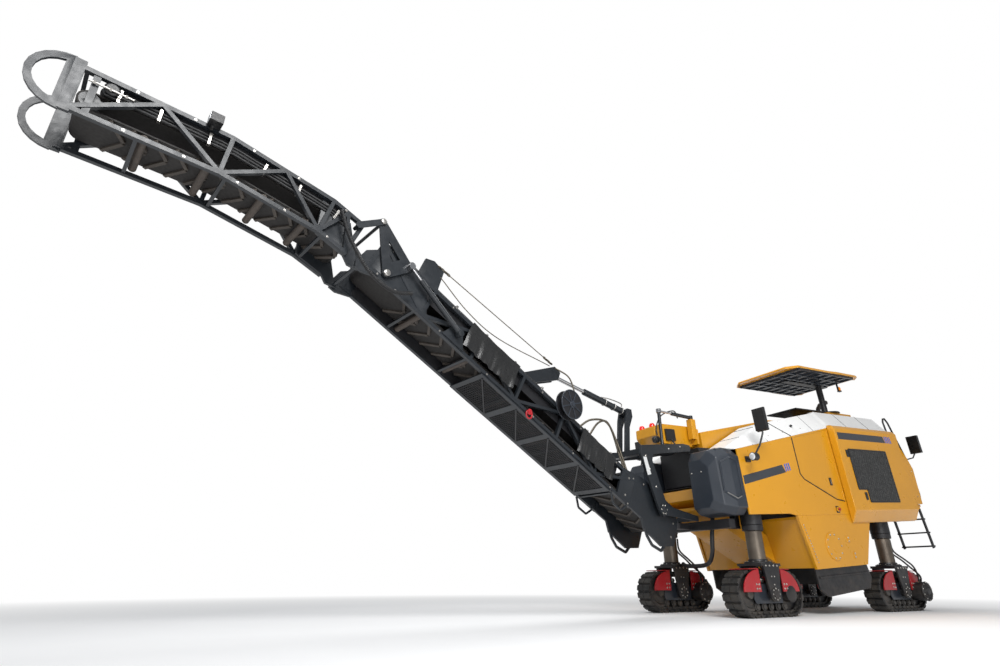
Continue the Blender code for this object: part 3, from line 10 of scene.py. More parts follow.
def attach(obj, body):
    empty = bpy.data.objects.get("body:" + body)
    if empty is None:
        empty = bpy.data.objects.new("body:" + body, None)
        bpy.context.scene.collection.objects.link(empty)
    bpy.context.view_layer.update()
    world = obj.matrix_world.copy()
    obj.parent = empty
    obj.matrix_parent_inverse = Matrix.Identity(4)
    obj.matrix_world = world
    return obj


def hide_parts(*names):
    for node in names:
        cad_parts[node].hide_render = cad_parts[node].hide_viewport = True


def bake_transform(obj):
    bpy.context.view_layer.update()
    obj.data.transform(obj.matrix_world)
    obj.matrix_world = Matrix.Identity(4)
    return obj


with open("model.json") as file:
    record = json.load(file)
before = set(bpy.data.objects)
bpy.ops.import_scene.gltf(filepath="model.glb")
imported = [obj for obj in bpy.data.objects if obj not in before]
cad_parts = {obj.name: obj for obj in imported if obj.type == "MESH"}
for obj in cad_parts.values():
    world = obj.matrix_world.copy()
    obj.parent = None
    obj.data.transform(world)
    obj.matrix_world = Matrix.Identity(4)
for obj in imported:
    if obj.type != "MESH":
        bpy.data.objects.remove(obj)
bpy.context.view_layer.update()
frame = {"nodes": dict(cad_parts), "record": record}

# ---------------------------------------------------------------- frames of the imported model
ORIGIN = Vector((-2.1067, -0.2796, 0.0))          # middle of the front crawlers, on the ground
BODY_TILT = 3.6                                   # degrees, nose down
WHEELBASE, GAUGE = 3.277, 1.611
SLEW_X, SLEW_REST = 0.7, 11.0                    # slewing axis, and its angle at rest
ROOT_X, ROOT_Z, INCLINE = 0.8, 1.33, 27.0        # root pin and slope of the lower conveyor
HINGE_S, HINGE_N = 5.15, -0.35                    # fold hinge, in the lower conveyor's frame
RUNS = ((0.5, 22.4), (0.96, 11.1), (1.15, 1.5))  # lengths and slopes of the upper conveyor


def spin(angle, axis):
    return Matrix.Rotation(radians(angle), 4, axis)


MACHINE = Matrix.Translation(ORIGIN)
BODY = MACHINE @ spin(BODY_TILT, "Y")
SLEW = MACHINE @ Matrix.Translation((SLEW_X, 0, 0)) @ spin(SLEW_REST, "Z")
LOWER = SLEW @ Matrix.Translation((ROOT_X, 0, ROOT_Z)) @ spin(-INCLINE, "Y")
UPPER = LOWER @ Matrix.Translation((HINGE_S, 0, HINGE_N)) @ spin(INCLINE, "Y")
LEGS = {"front_left": (0.0, 1), "front_right": (0.0, -1), "rear_left": (-WHEELBASE, 1), "rear_right": (-WHEELBASE, -1)}


def leg_frame(corner):
    x, side = LEGS[corner]
    return MACHINE @ Matrix.Translation((x, side * GAUGE / 2, 0))


# ---------------------------------------------------------------- materials
def mat(name, colour, rough=0.4, metal=0.0, vary=0.1, scale=2.0, rough_vary=0.1, bump=0.0, bump_scale=250.0,
        wear=0.0, wear_colour=(0.35, 0.34, 0.33), dust=0.0, coat=0.0, weave=0.0, streaks=0.0, emission=None):
    """Procedural surface: mottled colour, uneven gloss, fine relief, worn edges and dust near the ground."""
    m = bpy.data.materials.new(name)
    m.use_nodes = True
    t = m.node_tree
    n, link = t.nodes, t.links.new
    bsdf = n["Principled BSDF"]
    bsdf.inputs["Metallic"].default_value = metal
    if coat:
        bsdf.inputs["Coat Weight"].default_value = coat
        bsdf.inputs["Coat Roughness"].default_value = 0.08
    if emission:
        bsdf.inputs["Emission Color"].default_value = (*emission, 1)
        bsdf.inputs["Emission Strength"].default_value = 0.4
    place = n.new("ShaderNodeTexCoord").outputs["Object"]

    def noise_at(size, detail=5.0, distortion=0.0, stretch=None):
        node = n.new("ShaderNodeTexNoise")
        node.inputs["Scale"].default_value = size
        node.inputs["Detail"].default_value = detail
        node.inputs["Distortion"].default_value = distortion
        if stretch:
            mapping = n.new("ShaderNodeMapping")
            mapping.inputs["Scale"].default_value = stretch
            link(place, mapping.inputs["Vector"])
            link(mapping.outputs["Vector"], node.inputs["Vector"])
        else:
            link(place, node.inputs["Vector"])
        return node.outputs["Fac"]

    def ramp(source, low, high, a=0.0, b=1.0):
        node = n.new("ShaderNodeMapRange")
        for key, value in (("From Min", low), ("From Max", high), ("To Min", a), ("To Max", b)):
            node.inputs[key].default_value = value
        link(source, node.inputs["Value"])
        return node.outputs["Result"]

    def blend(factor, first, second, kind="MIX"):
        node = n.new("ShaderNodeMix")
        node.data_type = "RGBA"
        node.blend_type = kind
        for key, value in ((0, factor), (6, first), (7, second)):
            if isinstance(value, (int, float)):
                node.inputs[key].default_value = value
            elif isinstance(value, tuple):
                node.inputs[key].default_value = (*value, 1)
            else:
                link(value, node.inputs[key])
        return node.outputs[2]

    dark = tuple(c * (1 - vary) for c in colour)
    light = tuple(min(1, c * (1 + vary * 0.6)) for c in colour)
    result = blend(ramp(noise_at(scale), 0.3, 0.7), dark, light)
    if streaks:
        lines = noise_at(9.0, 4.0, 0.2, (1.0, 1.0, 0.06))
        result = blend(ramp(lines, 0.52, 0.72, 0.0, streaks), result, tuple(c * 0.45 for c in colour))
    if wear:
        pointy = n.new("ShaderNodeNewGeometry").outputs["Pointiness"]
        mask = n.new("ShaderNodeMath")
        mask.operation = "MULTIPLY"
        link(ramp(pointy, 0.515, 0.6, 0.0, wear), mask.inputs[0])
        link(ramp(noise_at(22.0), 0.42, 0.6), mask.inputs[1])
        result = blend(mask.outputs[0], result, wear_colour)
    if dust:
        split = n.new("ShaderNodeSeparateXYZ")
        link(place, split.inputs[0])
        mask = n.new("ShaderNodeMath")
        mask.operation = "MULTIPLY"
        link(ramp(split.outputs["Z"], 1.3, 0.0, 0.0, dust), mask.inputs[0])
        link(ramp(noise_at(6.0, 8.0), 0.4, 0.68), mask.inputs[1])
        result = blend(mask.outputs[0], result, (0.16, 0.13, 0.1))
    link(result, bsdf.inputs["Base Color"])
    gloss = noise_at(scale * 7)
    link(ramp(gloss, 0.3, 0.7, max(0.03, rough - rough_vary / 2), min(1, rough + rough_vary)), bsdf.inputs["Roughness"])
    if bump or weave:
        relief = n.new("ShaderNodeBump")
        relief.inputs["Strength"].default_value = bump or weave
        relief.inputs["Distance"].default_value = 0.002
        if weave:
            wave = n.new("ShaderNodeTexWave")
            wave.inputs["Scale"].default_value = bump_scale
            wave.bands_direction = "DIAGONAL"
            link(place, wave.inputs["Vector"])
            link(wave.outputs["Fac"], relief.inputs["Height"])
        else:
            link(noise_at(bump_scale, 3.0), relief.inputs["Height"])
        link(relief.outputs["Normal"], bsdf.inputs["Normal"])
    return m


YELLOW = mat("golden_paint", (0.64, 0.29, 0.008), 0.3, vary=0.06, scale=0.8, rough_vary=0.08, bump=0.04,
             bump_scale=420, coat=0.35)
SLATE = mat("slate_paint", (0.022, 0.028, 0.038), 0.36, vary=0.12, scale=1.5, bump=0.05, bump_scale=380, dust=0.1,
            coat=0.15)
BLACK = mat("frame_black_paint", (0.01, 0.01, 0.012), 0.42, vary=0.25, scale=3.0, bump=0.08, bump_scale=300,
            dust=0.22)
CONVEYOR = mat("conveyor_paint", (0.013, 0.016, 0.02), 0.36, vary=0.25, scale=2.0, bump=0.06, bump_scale=350,
               coat=0.05)
WHITE = mat("white_hood", (0.8, 0.8, 0.79), 0.32, vary=0.04, scale=1.2, bump=0.05, bump_scale=300, streaks=0.04,
            coat=0.25)
RED = mat("crimson_paint", (0.36, 0.004, 0.01), 0.34, vary=0.12, scale=4.0, bump=0.05, dust=0.15, coat=0.2)
SHOE = mat("shoe_rubber", (0.012, 0.0115, 0.011), 0.58, vary=0.3, scale=9.0, bump=0.35, bump_scale=160, wear=0.3,
           wear_colour=(0.06, 0.055, 0.05), dust=0.25)
STEEL = mat("worn_steel", (0.1, 0.095, 0.09), 0.42, 0.8, vary=0.3, scale=6.0, bump=0.1, dust=0.3)
BOLT = mat("zinc_bolt", (0.52, 0.5, 0.47), 0.3, 1.0, vary=0.15, scale=30.0, bump=0.06)
COLUMN = mat("bronzed_column", (0.15, 0.125, 0.1), 0.38, 0.75, vary=0.3, scale=5.0, streaks=0.5, bump=0.05)
CHROME = mat("chromed_rod", (0.55, 0.55, 0.56), 0.1, 1.0, vary=0.05, scale=12.0, rough_vary=0.05, streaks=0.05)
CLEAT = mat("belt_cleat_rubber", (0.055, 0.045, 0.037), 0.6, vary=0.3, scale=9.0, bump=0.2, bump_scale=200)
BELT = mat("belt_rubber", (0.013, 0.011, 0.01), 0.66, vary=0.35, scale=5.0, bump=0.25, bump_scale=220)
HOSE = mat("hose_rubber", (0.01, 0.01, 0.011), 0.45, vary=0.3, scale=20.0, weave=0.25, bump_scale=240)
PLASTIC = mat("black_plastic", (0.014, 0.014, 0.015), 0.38, vary=0.2, scale=12.0, bump=0.18, bump_scale=500)
MESH_WIRE = mat("grille_wire", (0.17, 0.17, 0.165), 0.42, 0.7, vary=0.35, scale=25.0, bump=0.1)
IDLER = mat("idler_rubber", (0.055, 0.042, 0.033), 0.6, vary=0.3, scale=14.0, bump=0.2, bump_scale=120)
TARP = mat("black_tarpaulin", (0.012, 0.012, 0.012), 0.3, vary=0.25, scale=5.0, weave=0.18, bump_scale=300, coat=0.2)
COVER = mat("pale_cover", (0.62, 0.63, 0.63), 0.5, vary=0.08, scale=3.0, weave=0.12, bump_scale=260)
VINYL = mat("seat_vinyl", (0.018, 0.018, 0.02), 0.48, vary=0.2, scale=8.0, bump=0.3, bump_scale=420)
AMBER = mat("amber_lens", (0.95, 0.32, 0.02), 0.12, vary=0.06, scale=20.0, coat=0.6, emission=(0.9, 0.25, 0.0))
RED_LENS = mat("red_lens", (0.75, 0.01, 0.01), 0.14, vary=0.08, scale=20.0, coat=0.6, emission=(0.6, 0.0, 0.0))
LENS = mat("clear_lens", (0.72, 0.74, 0.76), 0.08, 0.3, vary=0.08, scale=40.0, coat=0.8)
MIRROR = mat("mirror_glass", (0.62, 0.66, 0.68), 0.04, 1.0, vary=0.03, scale=4.0, rough_vary=0.02)
STRIPE = mat("stripe_grey", (0.035, 0.039, 0.047), 0.34, vary=0.06, scale=3.0, bump=0.04, coat=0.3)
BLUE = mat("stripe_blue", (0.02, 0.11, 0.5), 0.34, vary=0.06, scale=3.0, bump=0.04, coat=0.3)
EXHAUST = mat("heat_stained_steel", (0.085, 0.075, 0.07), 0.45, 0.7, vary=0.35, scale=8.0, streaks=0.4, bump=0.08)
WIRE_ROPE = mat("wire_rope", (0.16, 0.14, 0.11), 0.45, 0.8, vary=0.3, scale=60.0, weave=0.6, bump_scale=150)
BRASS = mat("hose_fitting", (0.5, 0.38, 0.2), 0.35, 0.9, vary=0.15, scale=30.0, bump=0.05)


# ---------------------------------------------------------------- mesh building
UP = (0, 0, 1)
BLOCK_FACES = [(0, 1, 2, 3), (7, 6, 5, 4), (0, 4, 5, 1), (1, 5, 6, 2), (2, 6, 7, 3), (3, 7, 4, 0)]


def circle(count, shift=0.0):
    """Angles evenly round a full turn."""
    return [tau * (k + shift) / count for k in range(count)]


def smooth_path(points, steps=8):
    """Catmull-Rom curve through the points."""
    points = [Vector(p) for p in points]
    ends = [points[0] * 2 - points[1], *points, points[-1] * 2 - points[-2]]
    out = []
    for a, b, c, d in zip(ends, ends[1:], ends[2:], ends[3:]):
        for i in range(steps):
            t = i / steps
            out.append(0.5 * ((2 * b) + (c - a) * t + (2 * a - 5 * b + 4 * c - d) * t * t
                              + (3 * b - a - 3 * c + d) * t ** 3))
    out.append(points[-1])
    return out


class Solid:
    """Collects closed shapes in one mesh, given in a local frame."""

    def __init__(self, place=MACHINE):
        self.bm = bmesh.new()
        self.place = place

    def add(self, points, faces):
        made = [self.bm.verts.new(self.place @ Vector(p)) for p in points]
        for face in faces:
            self.bm.faces.new([made[i] for i in face])
        return self

    def box(self, low, high, turn=0.0, axis="Y"):
        low, high = Vector(low), Vector(high)
        middle, size = (low + high) / 2, (high - low) / 2
        rot = spin(turn, axis)
        corners = [middle + rot @ Vector((x * size.x, y * size.y, z * size.z))
                   for x in (-1, 1) for y in (-1, 1) for z in (-1, 1)]
        return self.add(corners, [(0, 1, 3, 2), (4, 6, 7, 5), (0, 4, 5, 1), (2, 3, 7, 6), (0, 2, 6, 4), (1, 5, 7, 3)])

    def bar(self, start, end, width, depth):
        start, end = Vector(start), Vector(end)
        along = (end - start).normalized()
        side = Vector((0, 1, 0)) if abs(along.y) < 0.9 else Vector((1, 0, 0))
        up = along.cross(side).normalized()
        side = up.cross(along)
        ring = [side * x * width / 2 + up * z * depth / 2 for x, z in ((-1, -1), (1, -1), (1, 1), (-1, 1))]
        points = [start + o for o in ring] + [end + o for o in ring]
        return self.add(points, [(3, 2, 1, 0), (4, 5, 6, 7), (0, 1, 5, 4), (1, 2, 6, 5), (2, 3, 7, 6), (3, 0, 4, 7)])

    def lathe(self, start, direction, profile, count=28):
        """Rings of (distance along, radius); the first and last ring are capped."""
        start, axis = Vector(start), Vector(direction).normalized()
        side = axis.orthogonal().normalized()
        other = axis.cross(side)
        points = []
        for distance, radius in profile:
            for a in circle(count):
                points.append(start + axis * distance + (side * cos(a) + other * sin(a)) * max(radius, 1e-4))
        faces = [tuple(reversed(range(count))), tuple(range(count * (len(profile) - 1), count * len(profile)))]
        for r in range(len(profile) - 1):
            for i in range(count):
                j = (i + 1) % count
                faces.append((r * count + i, r * count + j, (r + 1) * count + j, (r + 1) * count + i))
        return self.add(points, faces)

    def cyl(self, start, end, radius, count=24, chamfer=0.0):
        start, end = Vector(start), Vector(end)
        length = (end - start).length
        c = min(chamfer, radius * 0.4, length * 0.4)
        profile = [(0, radius), (length, radius)]
        if c:
            profile = [(0, radius - c), (c, radius), (length - c, radius), (length, radius - c)]
        return self.lathe(start, end - start, profile, count)

    def tube(self, points, radius, count=10, closed=False):
        points = [Vector(p) for p in points]
        total = len(points)
        rings = []
        side = None
        for i, p in enumerate(points):
            if closed:
                along = (points[(i + 1) % total] - points[i - 1]).normalized()
            else:
                along = (points[min(i + 1, total - 1)] - points[max(i - 1, 0)]).normalized()
            side = along.orthogonal() if side is None else side - along * side.dot(along)
            side.normalize()
            other = along.cross(side)
            rings.append([p + (side * cos(a) + other * sin(a)) * radius for a in circle(count)])
        faces = []
        for r in range(total if closed else total - 1):
            s = (r + 1) % total
            for i in range(count):
                j = (i + 1) % count
                faces.append((r * count + i, r * count + j, s * count + j, s * count + i))
        if not closed:
            faces += [tuple(reversed(range(count))), tuple(range(count * (total - 1), count * total))]
        return self.add([p for ring in rings for p in ring], faces)

    def hose(self, points, radius, steps=8):
        return self.tube(smooth_path(points, steps), radius)

    def block(self, at, low, high, section):
        """A bar with a four-sided section, from one y to another, placed point by point by a function."""
        return self.add([at(u, h, y) for y in (low, high) for u, h in section], BLOCK_FACES)

    def rail(self, outline, y, width, depth, closed=False):
        """Bars along an outline in the x-z plane; y is a number or a function of x."""
        at = y if callable(y) else lambda x: y
        for a, b in zip(outline, outline[1:] + outline[:1] if closed else outline[1:]):
            self.bar((a[0], at(a[0]), a[1]), (b[0], at(b[0]), b[1]), width, depth)
        return self

    def plate(self, outline, start, end, axis="y"):
        def at(a, b, t):
            return {"x": (t, a, b), "y": (a, t, b), "z": (a, b, t)}[axis]
        n = len(outline)
        points = [at(a, b, start) for a, b in outline] + [at(a, b, end) for a, b in outline]
        faces = [tuple(range(n)), tuple(reversed(range(n, 2 * n)))]
        faces += [(i, (i + 1) % n, n + (i + 1) % n, n + i) for i in range(n)]
        return self.add(points, faces)

    def bolt(self, at, direction, size=0.011):
        at, direction = Vector(at), Vector(direction).normalized()
        self.lathe(at - direction * 0.002, direction, [(0, size * 1.5), (0.004, size * 1.5)], 16)
        self.lathe(at + direction * 0.001, direction, [(0, size), (size * 0.7, size), (size * 0.9, size * 0.8)], 6)
        return self

    def bolts(self, spots, y, side, size):
        """Bolts at places in the x-z plane that face to one side."""
        for x, z in spots:
            self.bolt((x, y, z), (0, side, 0), size)
        return self

    def bolt_ring(self, centre, radius, count, direction, size, shift=0.0):
        """Bolts round a circle in the x-z plane."""
        for a in circle(count, shift):
            self.bolt((centre[0] + radius * cos(a), centre[1], centre[2] + radius * sin(a)), direction, size)
        return self

    def done(self, name, material, body, slot, bevel=0.0, replaces=(), flat=False):
        bmesh.ops.recalc_face_normals(self.bm, faces=self.bm.faces)
        mesh = bpy.data.meshes.new(name)
        self.bm.to_mesh(mesh)
        self.bm.free()
        return finish_piece(bpy.data.objects.new(name, mesh), material, body, bevel, replaces, flat)


def finish_piece(obj, material, body, bevel=0.0, replaces=(), flat=False, sharp=38):
    bpy.context.scene.collection.objects.link(obj)
    obj.data.materials.clear()
    obj.data.materials.append(material)
    if not flat:
        obj.data.shade_smooth()
        obj.data.set_sharp_from_angle(angle=radians(sharp))
    if bevel:
        mod = obj.modifiers.new("edges", "BEVEL")
        mod.width, mod.segments, mod.limit_method = bevel, 2, "ANGLE"
        mod.angle_limit = radians(min(32, sharp))
        mod.harden_normals = True
        mod.use_clamp_overlap = True
    if isinstance(body, tuple):
        tuple(body[2])
        tuple(body[3])
        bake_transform(obj)
    else:
        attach(obj, body)
    if replaces:
        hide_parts(*replaces)
    return obj


BODY_OF = {n: b for b, ns in frame["record"]["behaviour"]["bodies"].items() for n in ns}
# plain panels whose every fold is drawn as a sharp edge
FACETED = ("front_bumper", "hood_", "air_door", "canopy_roof", "drum_housing", "feed_conveyor", "centre_tank",
           "slew_bracket", "side_panel", "side_door")


def refined(node, material, bevel=0.004):
    """The CAD piece with its edges rounded and its paint on."""
    source = frame["nodes"][node]
    bm = bmesh.new()
    bm.from_mesh(source.data)
    bmesh.ops.remove_doubles(bm, verts=bm.verts, dist=0.00002)
    bmesh.ops.dissolve_limit(bm, angle_limit=radians(0.5), verts=bm.verts, edges=bm.edges)
    mesh = bpy.data.meshes.new(node + "_skin")
    bm.to_mesh(mesh)
    bm.free()
    sharp = 12 if node.startswith(FACETED) else 38
    return finish_piece(bpy.data.objects.new(node + "_skin", mesh), material, BODY_OF[node], bevel,
                        (node,), sharp=sharp)


def panel_top(x):
    return 2.69 if x < -2.24 else 2.205 + 0.187 * (0.165 - x)


# ---------------------------------------------------------------- CAD pieces that keep their shape
for pattern, material, bevel in (
        ("main_frame", BLACK, 0.004), ("side_panel_*", YELLOW, 0.006), ("side_door_*", YELLOW, 0.003),
        ("air_door_*", YELLOW, 0.018), ("front_bumper_*", SLATE, 0.014), ("hood_*", WHITE, 0.01),
        ("rear_wall", YELLOW, 0.004), ("operator_platform", BLACK, 0.003), ("control_console", BLACK, 0.012),
        ("canopy_pedestal", YELLOW, 0.012), ("canopy_roof", YELLOW, 0.012), ("canopy_post", BLACK, 0.004),
        ("engine_block", STEEL, 0.02), ("exhaust_pipe", EXHAUST, 0.002), ("centre_tank", YELLOW, 0.01),
        ("drum_housing", YELLOW, 0.005), ("milling_drum", STEEL, 0.006), ("feed_conveyor", YELLOW, 0.006),
        ("slew_bracket", YELLOW, 0.01), ("front_mirror_*", PLASTIC, 0.005), ("rear_handrail_*", BLACK, 0.002),
        ("rear_ladder", BLACK, 0.003), ("slew_yoke", CONVEYOR, 0.005), ("lower_conveyor_frame", CONVEYOR, 0.0025),
        ("belt_guard", CONVEYOR, 0.002), ("upper_conveyor_frame", CONVEYOR, 0.0025), ("fold_rocker", CONVEYOR, 0.003),
        ("fold_link_*", CONVEYOR, 0.003), ("fold_cylinder_barrel_*", CONVEYOR, 0.002),
        ("fold_cylinder_rod_*", CHROME, 0.001), ("lift_cylinder_barrel", CONVEYOR, 0.002),
        ("lift_cylinder_rod", CHROME, 0.001), ("slew_cylinder_barrel", CONVEYOR, 0.002),
        ("slew_cylinder_rod", CHROME, 0.001), ("hose_reel", BLACK, 0.002)):
    for tag in ("left", "right") if "*" in pattern else ("",):
        refined(pattern.replace("*", tag), material, bevel)
for corner in LEGS:
    refined(corner + "_leg_yoke", BLACK, 0.004)
    refined(corner + "_track_frame", BLACK, 0.004)


def extent(node, axis, place=MACHINE):
    """Smallest and largest coordinate of a CAD piece in a local frame."""
    back = place.inverted()
    values = [(back @ v.co)[axis] for v in frame["nodes"][node].data.vertices]
    return min(values), max(values)


# ---------------------------------------------------------------- crawlers
TRACK_R, AXLE, SHOES = 0.29, 0.39, 30
PIVOT = 0.284                     # height of the track frame's pivot
# sections of a shoe's parts, as distances along the loop and out from it
SHOE_PLATE = (-0.05, -0.04), (0.05, -0.04), (0.05, -0.024), (-0.05, -0.024)
SHOE_PAD = (-0.044, -0.026), (0.044, -0.026), (0.035, 0), (-0.035, 0)
CHAIN_LINK = (-0.058, -0.078), (0.05, -0.078), (0.058, -0.042), (-0.05, -0.042)
PITCH = (4 * AXLE + 2 * pi * TRACK_R) / SHOES


def loop_place(distance):
    """Point on the crawler's outer line with its outward direction."""
    straight, turn = 2 * AXLE, pi * TRACK_R
    distance %= 2 * (straight + turn)
    if distance < straight:
        return Vector((distance - AXLE, 0, 0.0)), Vector((0, 0, -1))
    distance -= straight
    if distance < turn:
        a = distance / TRACK_R - pi / 2
        out = Vector((cos(a), 0, sin(a)))
        return Vector((AXLE, 0, TRACK_R)) + out * (TRACK_R - 0.003), out
    distance -= turn
    if distance < straight:
        return Vector((AXLE - distance, 0, 2 * TRACK_R)), Vector((0, 0, 1))
    a = (distance - straight) / TRACK_R + pi / 2
    out = Vector((cos(a), 0, sin(a)))
    return Vector((-AXLE, 0, TRACK_R)) + out * (TRACK_R - 0.003), out


for corner in LEGS:
    place, body = leg_frame(corner), corner + "_leg"
    low, high = extent(corner + "_track_frame", 1, place)
    motor = 1 if high > -low else -1
    pads, plates, chain = Solid(place), Solid(place), Solid(place)
    for i in range(SHOES):
        p, out = loop_place((i + 0.5) * PITCH)
        along = Vector((-out.z, 0, out.x))

        def at(u, h, y):
            return p + along * u + out * h + Vector((0, y, 0))

        plates.block(at, -0.128, 0.128, SHOE_PLATE)
        for low_y, high_y in ((-0.13, -0.004), (0.004, 0.13)):
            pads.block(at, low_y, high_y, SHOE_PAD)
        for low_y, high_y in ((-0.086, -0.064), (0.064, 0.086)):
            chain.block(at, low_y, high_y, CHAIN_LINK)
        chain.cyl(at(0.054, -0.06, -0.095), at(0.054, -0.06, 0.095), 0.012, 10)
        for y in (-0.105, 0.105):
            chain.bolt(at(0.02, -0.041, y), -out, 0.008)
    pads.done(corner + "_shoe_pads", SHOE, body, "track_steel", 0.005, (corner + "_track",))
    plates.done(corner + "_shoe_plates", BLACK, body, "track_steel", 0.002)
    chain.done(corner + "_chain", STEEL, body, "track_steel")

    wheels = Solid(place)
    for x in (-0.28, -0.14, 0.0, 0.14, 0.28):
        for s in (-1, 1):
            wheels.lathe((x, s * 0.056, 0.13), (0, s, 0),
                         [(0, 0.045), (0.01, 0.05), (0.034, 0.05), (0.038, 0.036), (0.05, 0.034), (0.055, 0.02)], 20)
    for s in (-1, 1):
        wheels.lathe((AXLE, s * 0.051, TRACK_R), (0, s, 0),
                     [(0, 0.2), (0.006, 0.208), (0.03, 0.208), (0.034, 0.18), (0.018, 0.16), (0.018, 0.07),
                      (0.05, 0.06), (0.055, 0.03)], 36)
        wheels.lathe((0.1, s * 0.056, 0.452), (0, s, 0), [(0, 0.03), (0.03, 0.034), (0.045, 0.02)], 16)
    wheels.done(corner + "_rollers", STEEL, body, "track_steel", 0.0)

    shield = Solid(place)
    for s in (-1, 1):
        shield.plate([(-0.24, 0.17), (0.3, 0.17), (0.33, 0.22), (0.31, 0.36), (0.22, 0.41), (-0.2, 0.41),
                      (-0.25, 0.34)], s * 0.09, s * 0.104)
    shield.done(corner + "_frame_shields", SLATE, body, "frame_black", 0.004)

    guard, bolts = Solid(place), Solid(place)
    for d in (-1, 1):
        for s in (-1, 1):
            lowest, start = 0.312, d * 0.226
            arch = [(start, lowest)] + [(start + d * 0.346 * cos(a), lowest + 0.276 * sin(a))
                                        for a in (pi / 2 * k / 14 for k in range(15))]
            guard.plate(arch, s * 0.1405, s * 0.1565)
            bolts.bolts([(d * x, z) for x in (0.262, 0.312) for z in (0.35, 0.405)], s * 0.157, s, 0.009)
        guard.plate([(d * 0.226, 0.588), (d * 0.3, 0.59), (d * 0.42, 0.586), (d * 0.42, 0.596), (d * 0.29, 0.602),
                     (d * 0.226, 0.6)], -0.157, 0.157)
    guard.done(corner + "_guards", RED, body, "frame_black", 0.003)

    yoke = Solid(place)
    yoke.lathe((0, 0, 0.664), UP, [(0, 0.185), (0.02, 0.185), (0.024, 0.17), (0.03, 0.135), (0.055, 0.128)], 40)
    yoke.lathe((0, 0, 1.085), UP, [(0, 0.122), (0.01, 0.14), (0.075, 0.142), (0.083, 0.136)], 40)
    for s in (-1, 1):
        yoke.lathe((0, s * 0.19, PIVOT), (0, s, 0),
                   [(0, 0.085), (0.01, 0.085), (0.014, 0.078), (0.014, 0.055), (0.026, 0.052), (0.028, 0.02)], 32)
        yoke.box((-0.15, s * 0.193 - 0.004, 0.58), (0.15, s * 0.193 + 0.004, 0.655))
        bolts.bolt_ring((0, s * 0.204, PIVOT), 0.067, 8, (0, s, 0), 0.007)
        bolts.bolts([(x, 0.635) for x in (-0.115, -0.04, 0.04, 0.115)], s * 0.197, s, 0.009)
        bolts.bolts([(-0.03, 0.5), (0.03, 0.5), (0.0, 0.4)], s * 0.195, s, 0.007)
    for a in circle(12, 0.5):
        bolts.bolt((0.157 * cos(a), 0.157 * sin(a), 0.686), UP, 0.01)
    yoke.done(corner + "_yoke_fittings", BLACK, body, "frame_black", 0.0015)

    face = max(abs(low), abs(high)) * motor
    drive = Solid(place)
    drive.lathe((-AXLE, face - motor * 0.03, TRACK_R), (0, motor, 0),
                [(0, 0.142), (0.022, 0.146), (0.032, 0.138), (0.034, 0.055), (0.045, 0.05), (0.048, 0.03)], 40)
    hub = Vector((-AXLE, face + motor * 0.006, TRACK_R))
    for a in circle(24):
        u = Vector((cos(a), 0, sin(a)))
        drive.bar(hub + u * 0.06, hub + u * 0.122, 0.007, 0.01)
    bolts.bolt_ring((-AXLE, face + motor * 0.004, TRACK_R), 0.13, 10, (0, motor, 0), 0.007, 0.5)
    drive.lathe((-AXLE, -motor * 0.14, TRACK_R), (0, -motor, 0),
                [(0, 0.112), (0.01, 0.112), (0.02, 0.09), (0.03, 0.04)], 28)
    drive.done(corner + "_drive_cover", BLACK, body, "frame_black", 0.0)
    bolts.done(corner + "_bolts", BOLT, body, "bare_steel")

    Solid(place).lathe((0, 0, 0.668), UP, [(0, 0.1115), (0.44, 0.1115)], 48).done(
        corner + "_column_tube", COLUMN, body, "bare_steel")
    hoses, ends = Solid(place), Solid(place)
    for shift in (-0.03, 0.03):
        path = [(-0.42 + shift, motor * 0.2, 0.4), (-0.4 + shift, motor * 0.225, 0.52),
                (-0.26, motor * (0.215 + shift), 0.66), (-0.2, motor * (0.15 + shift), 0.76),
                (-0.145, motor * (0.03 + shift), 0.9), (-0.135, motor * (0.02 + shift), 1.08)]
        hoses.hose(path, 0.0135)
        ends.lathe(path[0], UP, [(-0.03, 0.018), (0.0, 0.018), (0.004, 0.02), (0.03, 0.02), (0.034, 0.015)], 12)
    hoses.done(corner + "_motor_hoses", HOSE, body, "frame_black")
    ends.done(corner + "_hose_fittings", BRASS, body, "bare_steel")


# ---------------------------------------------------------------- body
SKIN = 1.0                        # outer face of the side panels
DOOR_FACE = 1.12                  # outer face of the cooling air doors
GRILLE_FRONT, GRILLE_STEP, GRILLE_REAR = -2.49, -2.74, -3.63
GRILLE_LOW, GRILLE_SILL, GRILLE_TOP = 1.45, 1.65, 2.29
GRILLE_LENGTH, GRILLE_HEIGHT = 1.14, 0.84
GRILLE = [(GRILLE_FRONT, GRILLE_TOP), (GRILLE_REAR, GRILLE_TOP), (GRILLE_REAR, GRILLE_LOW), (GRILLE_STEP, GRILLE_LOW),
          (GRILLE_STEP, GRILLE_SILL), (GRILLE_FRONT, GRILLE_SILL)]
MIRROR_OUT = SKIN - 0.05          # where the rear mirrors start


def ridge(x):
    """Height of the hood's upper edge."""
    return panel_top(x) + 0.3 * min(1.0, 0.18 + 0.82 * (0.165 - x) / 0.9)


def decal(name, outlines, face, side, material, body):
    """Painted shapes that stand just off an outer face."""
    paint = Solid(BODY)
    for outline in outlines:
        paint.plate(outline, face - side * 0.001, face + side * 0.0012)
    paint.done(name, material, body, "machine_yellow", flat=True)


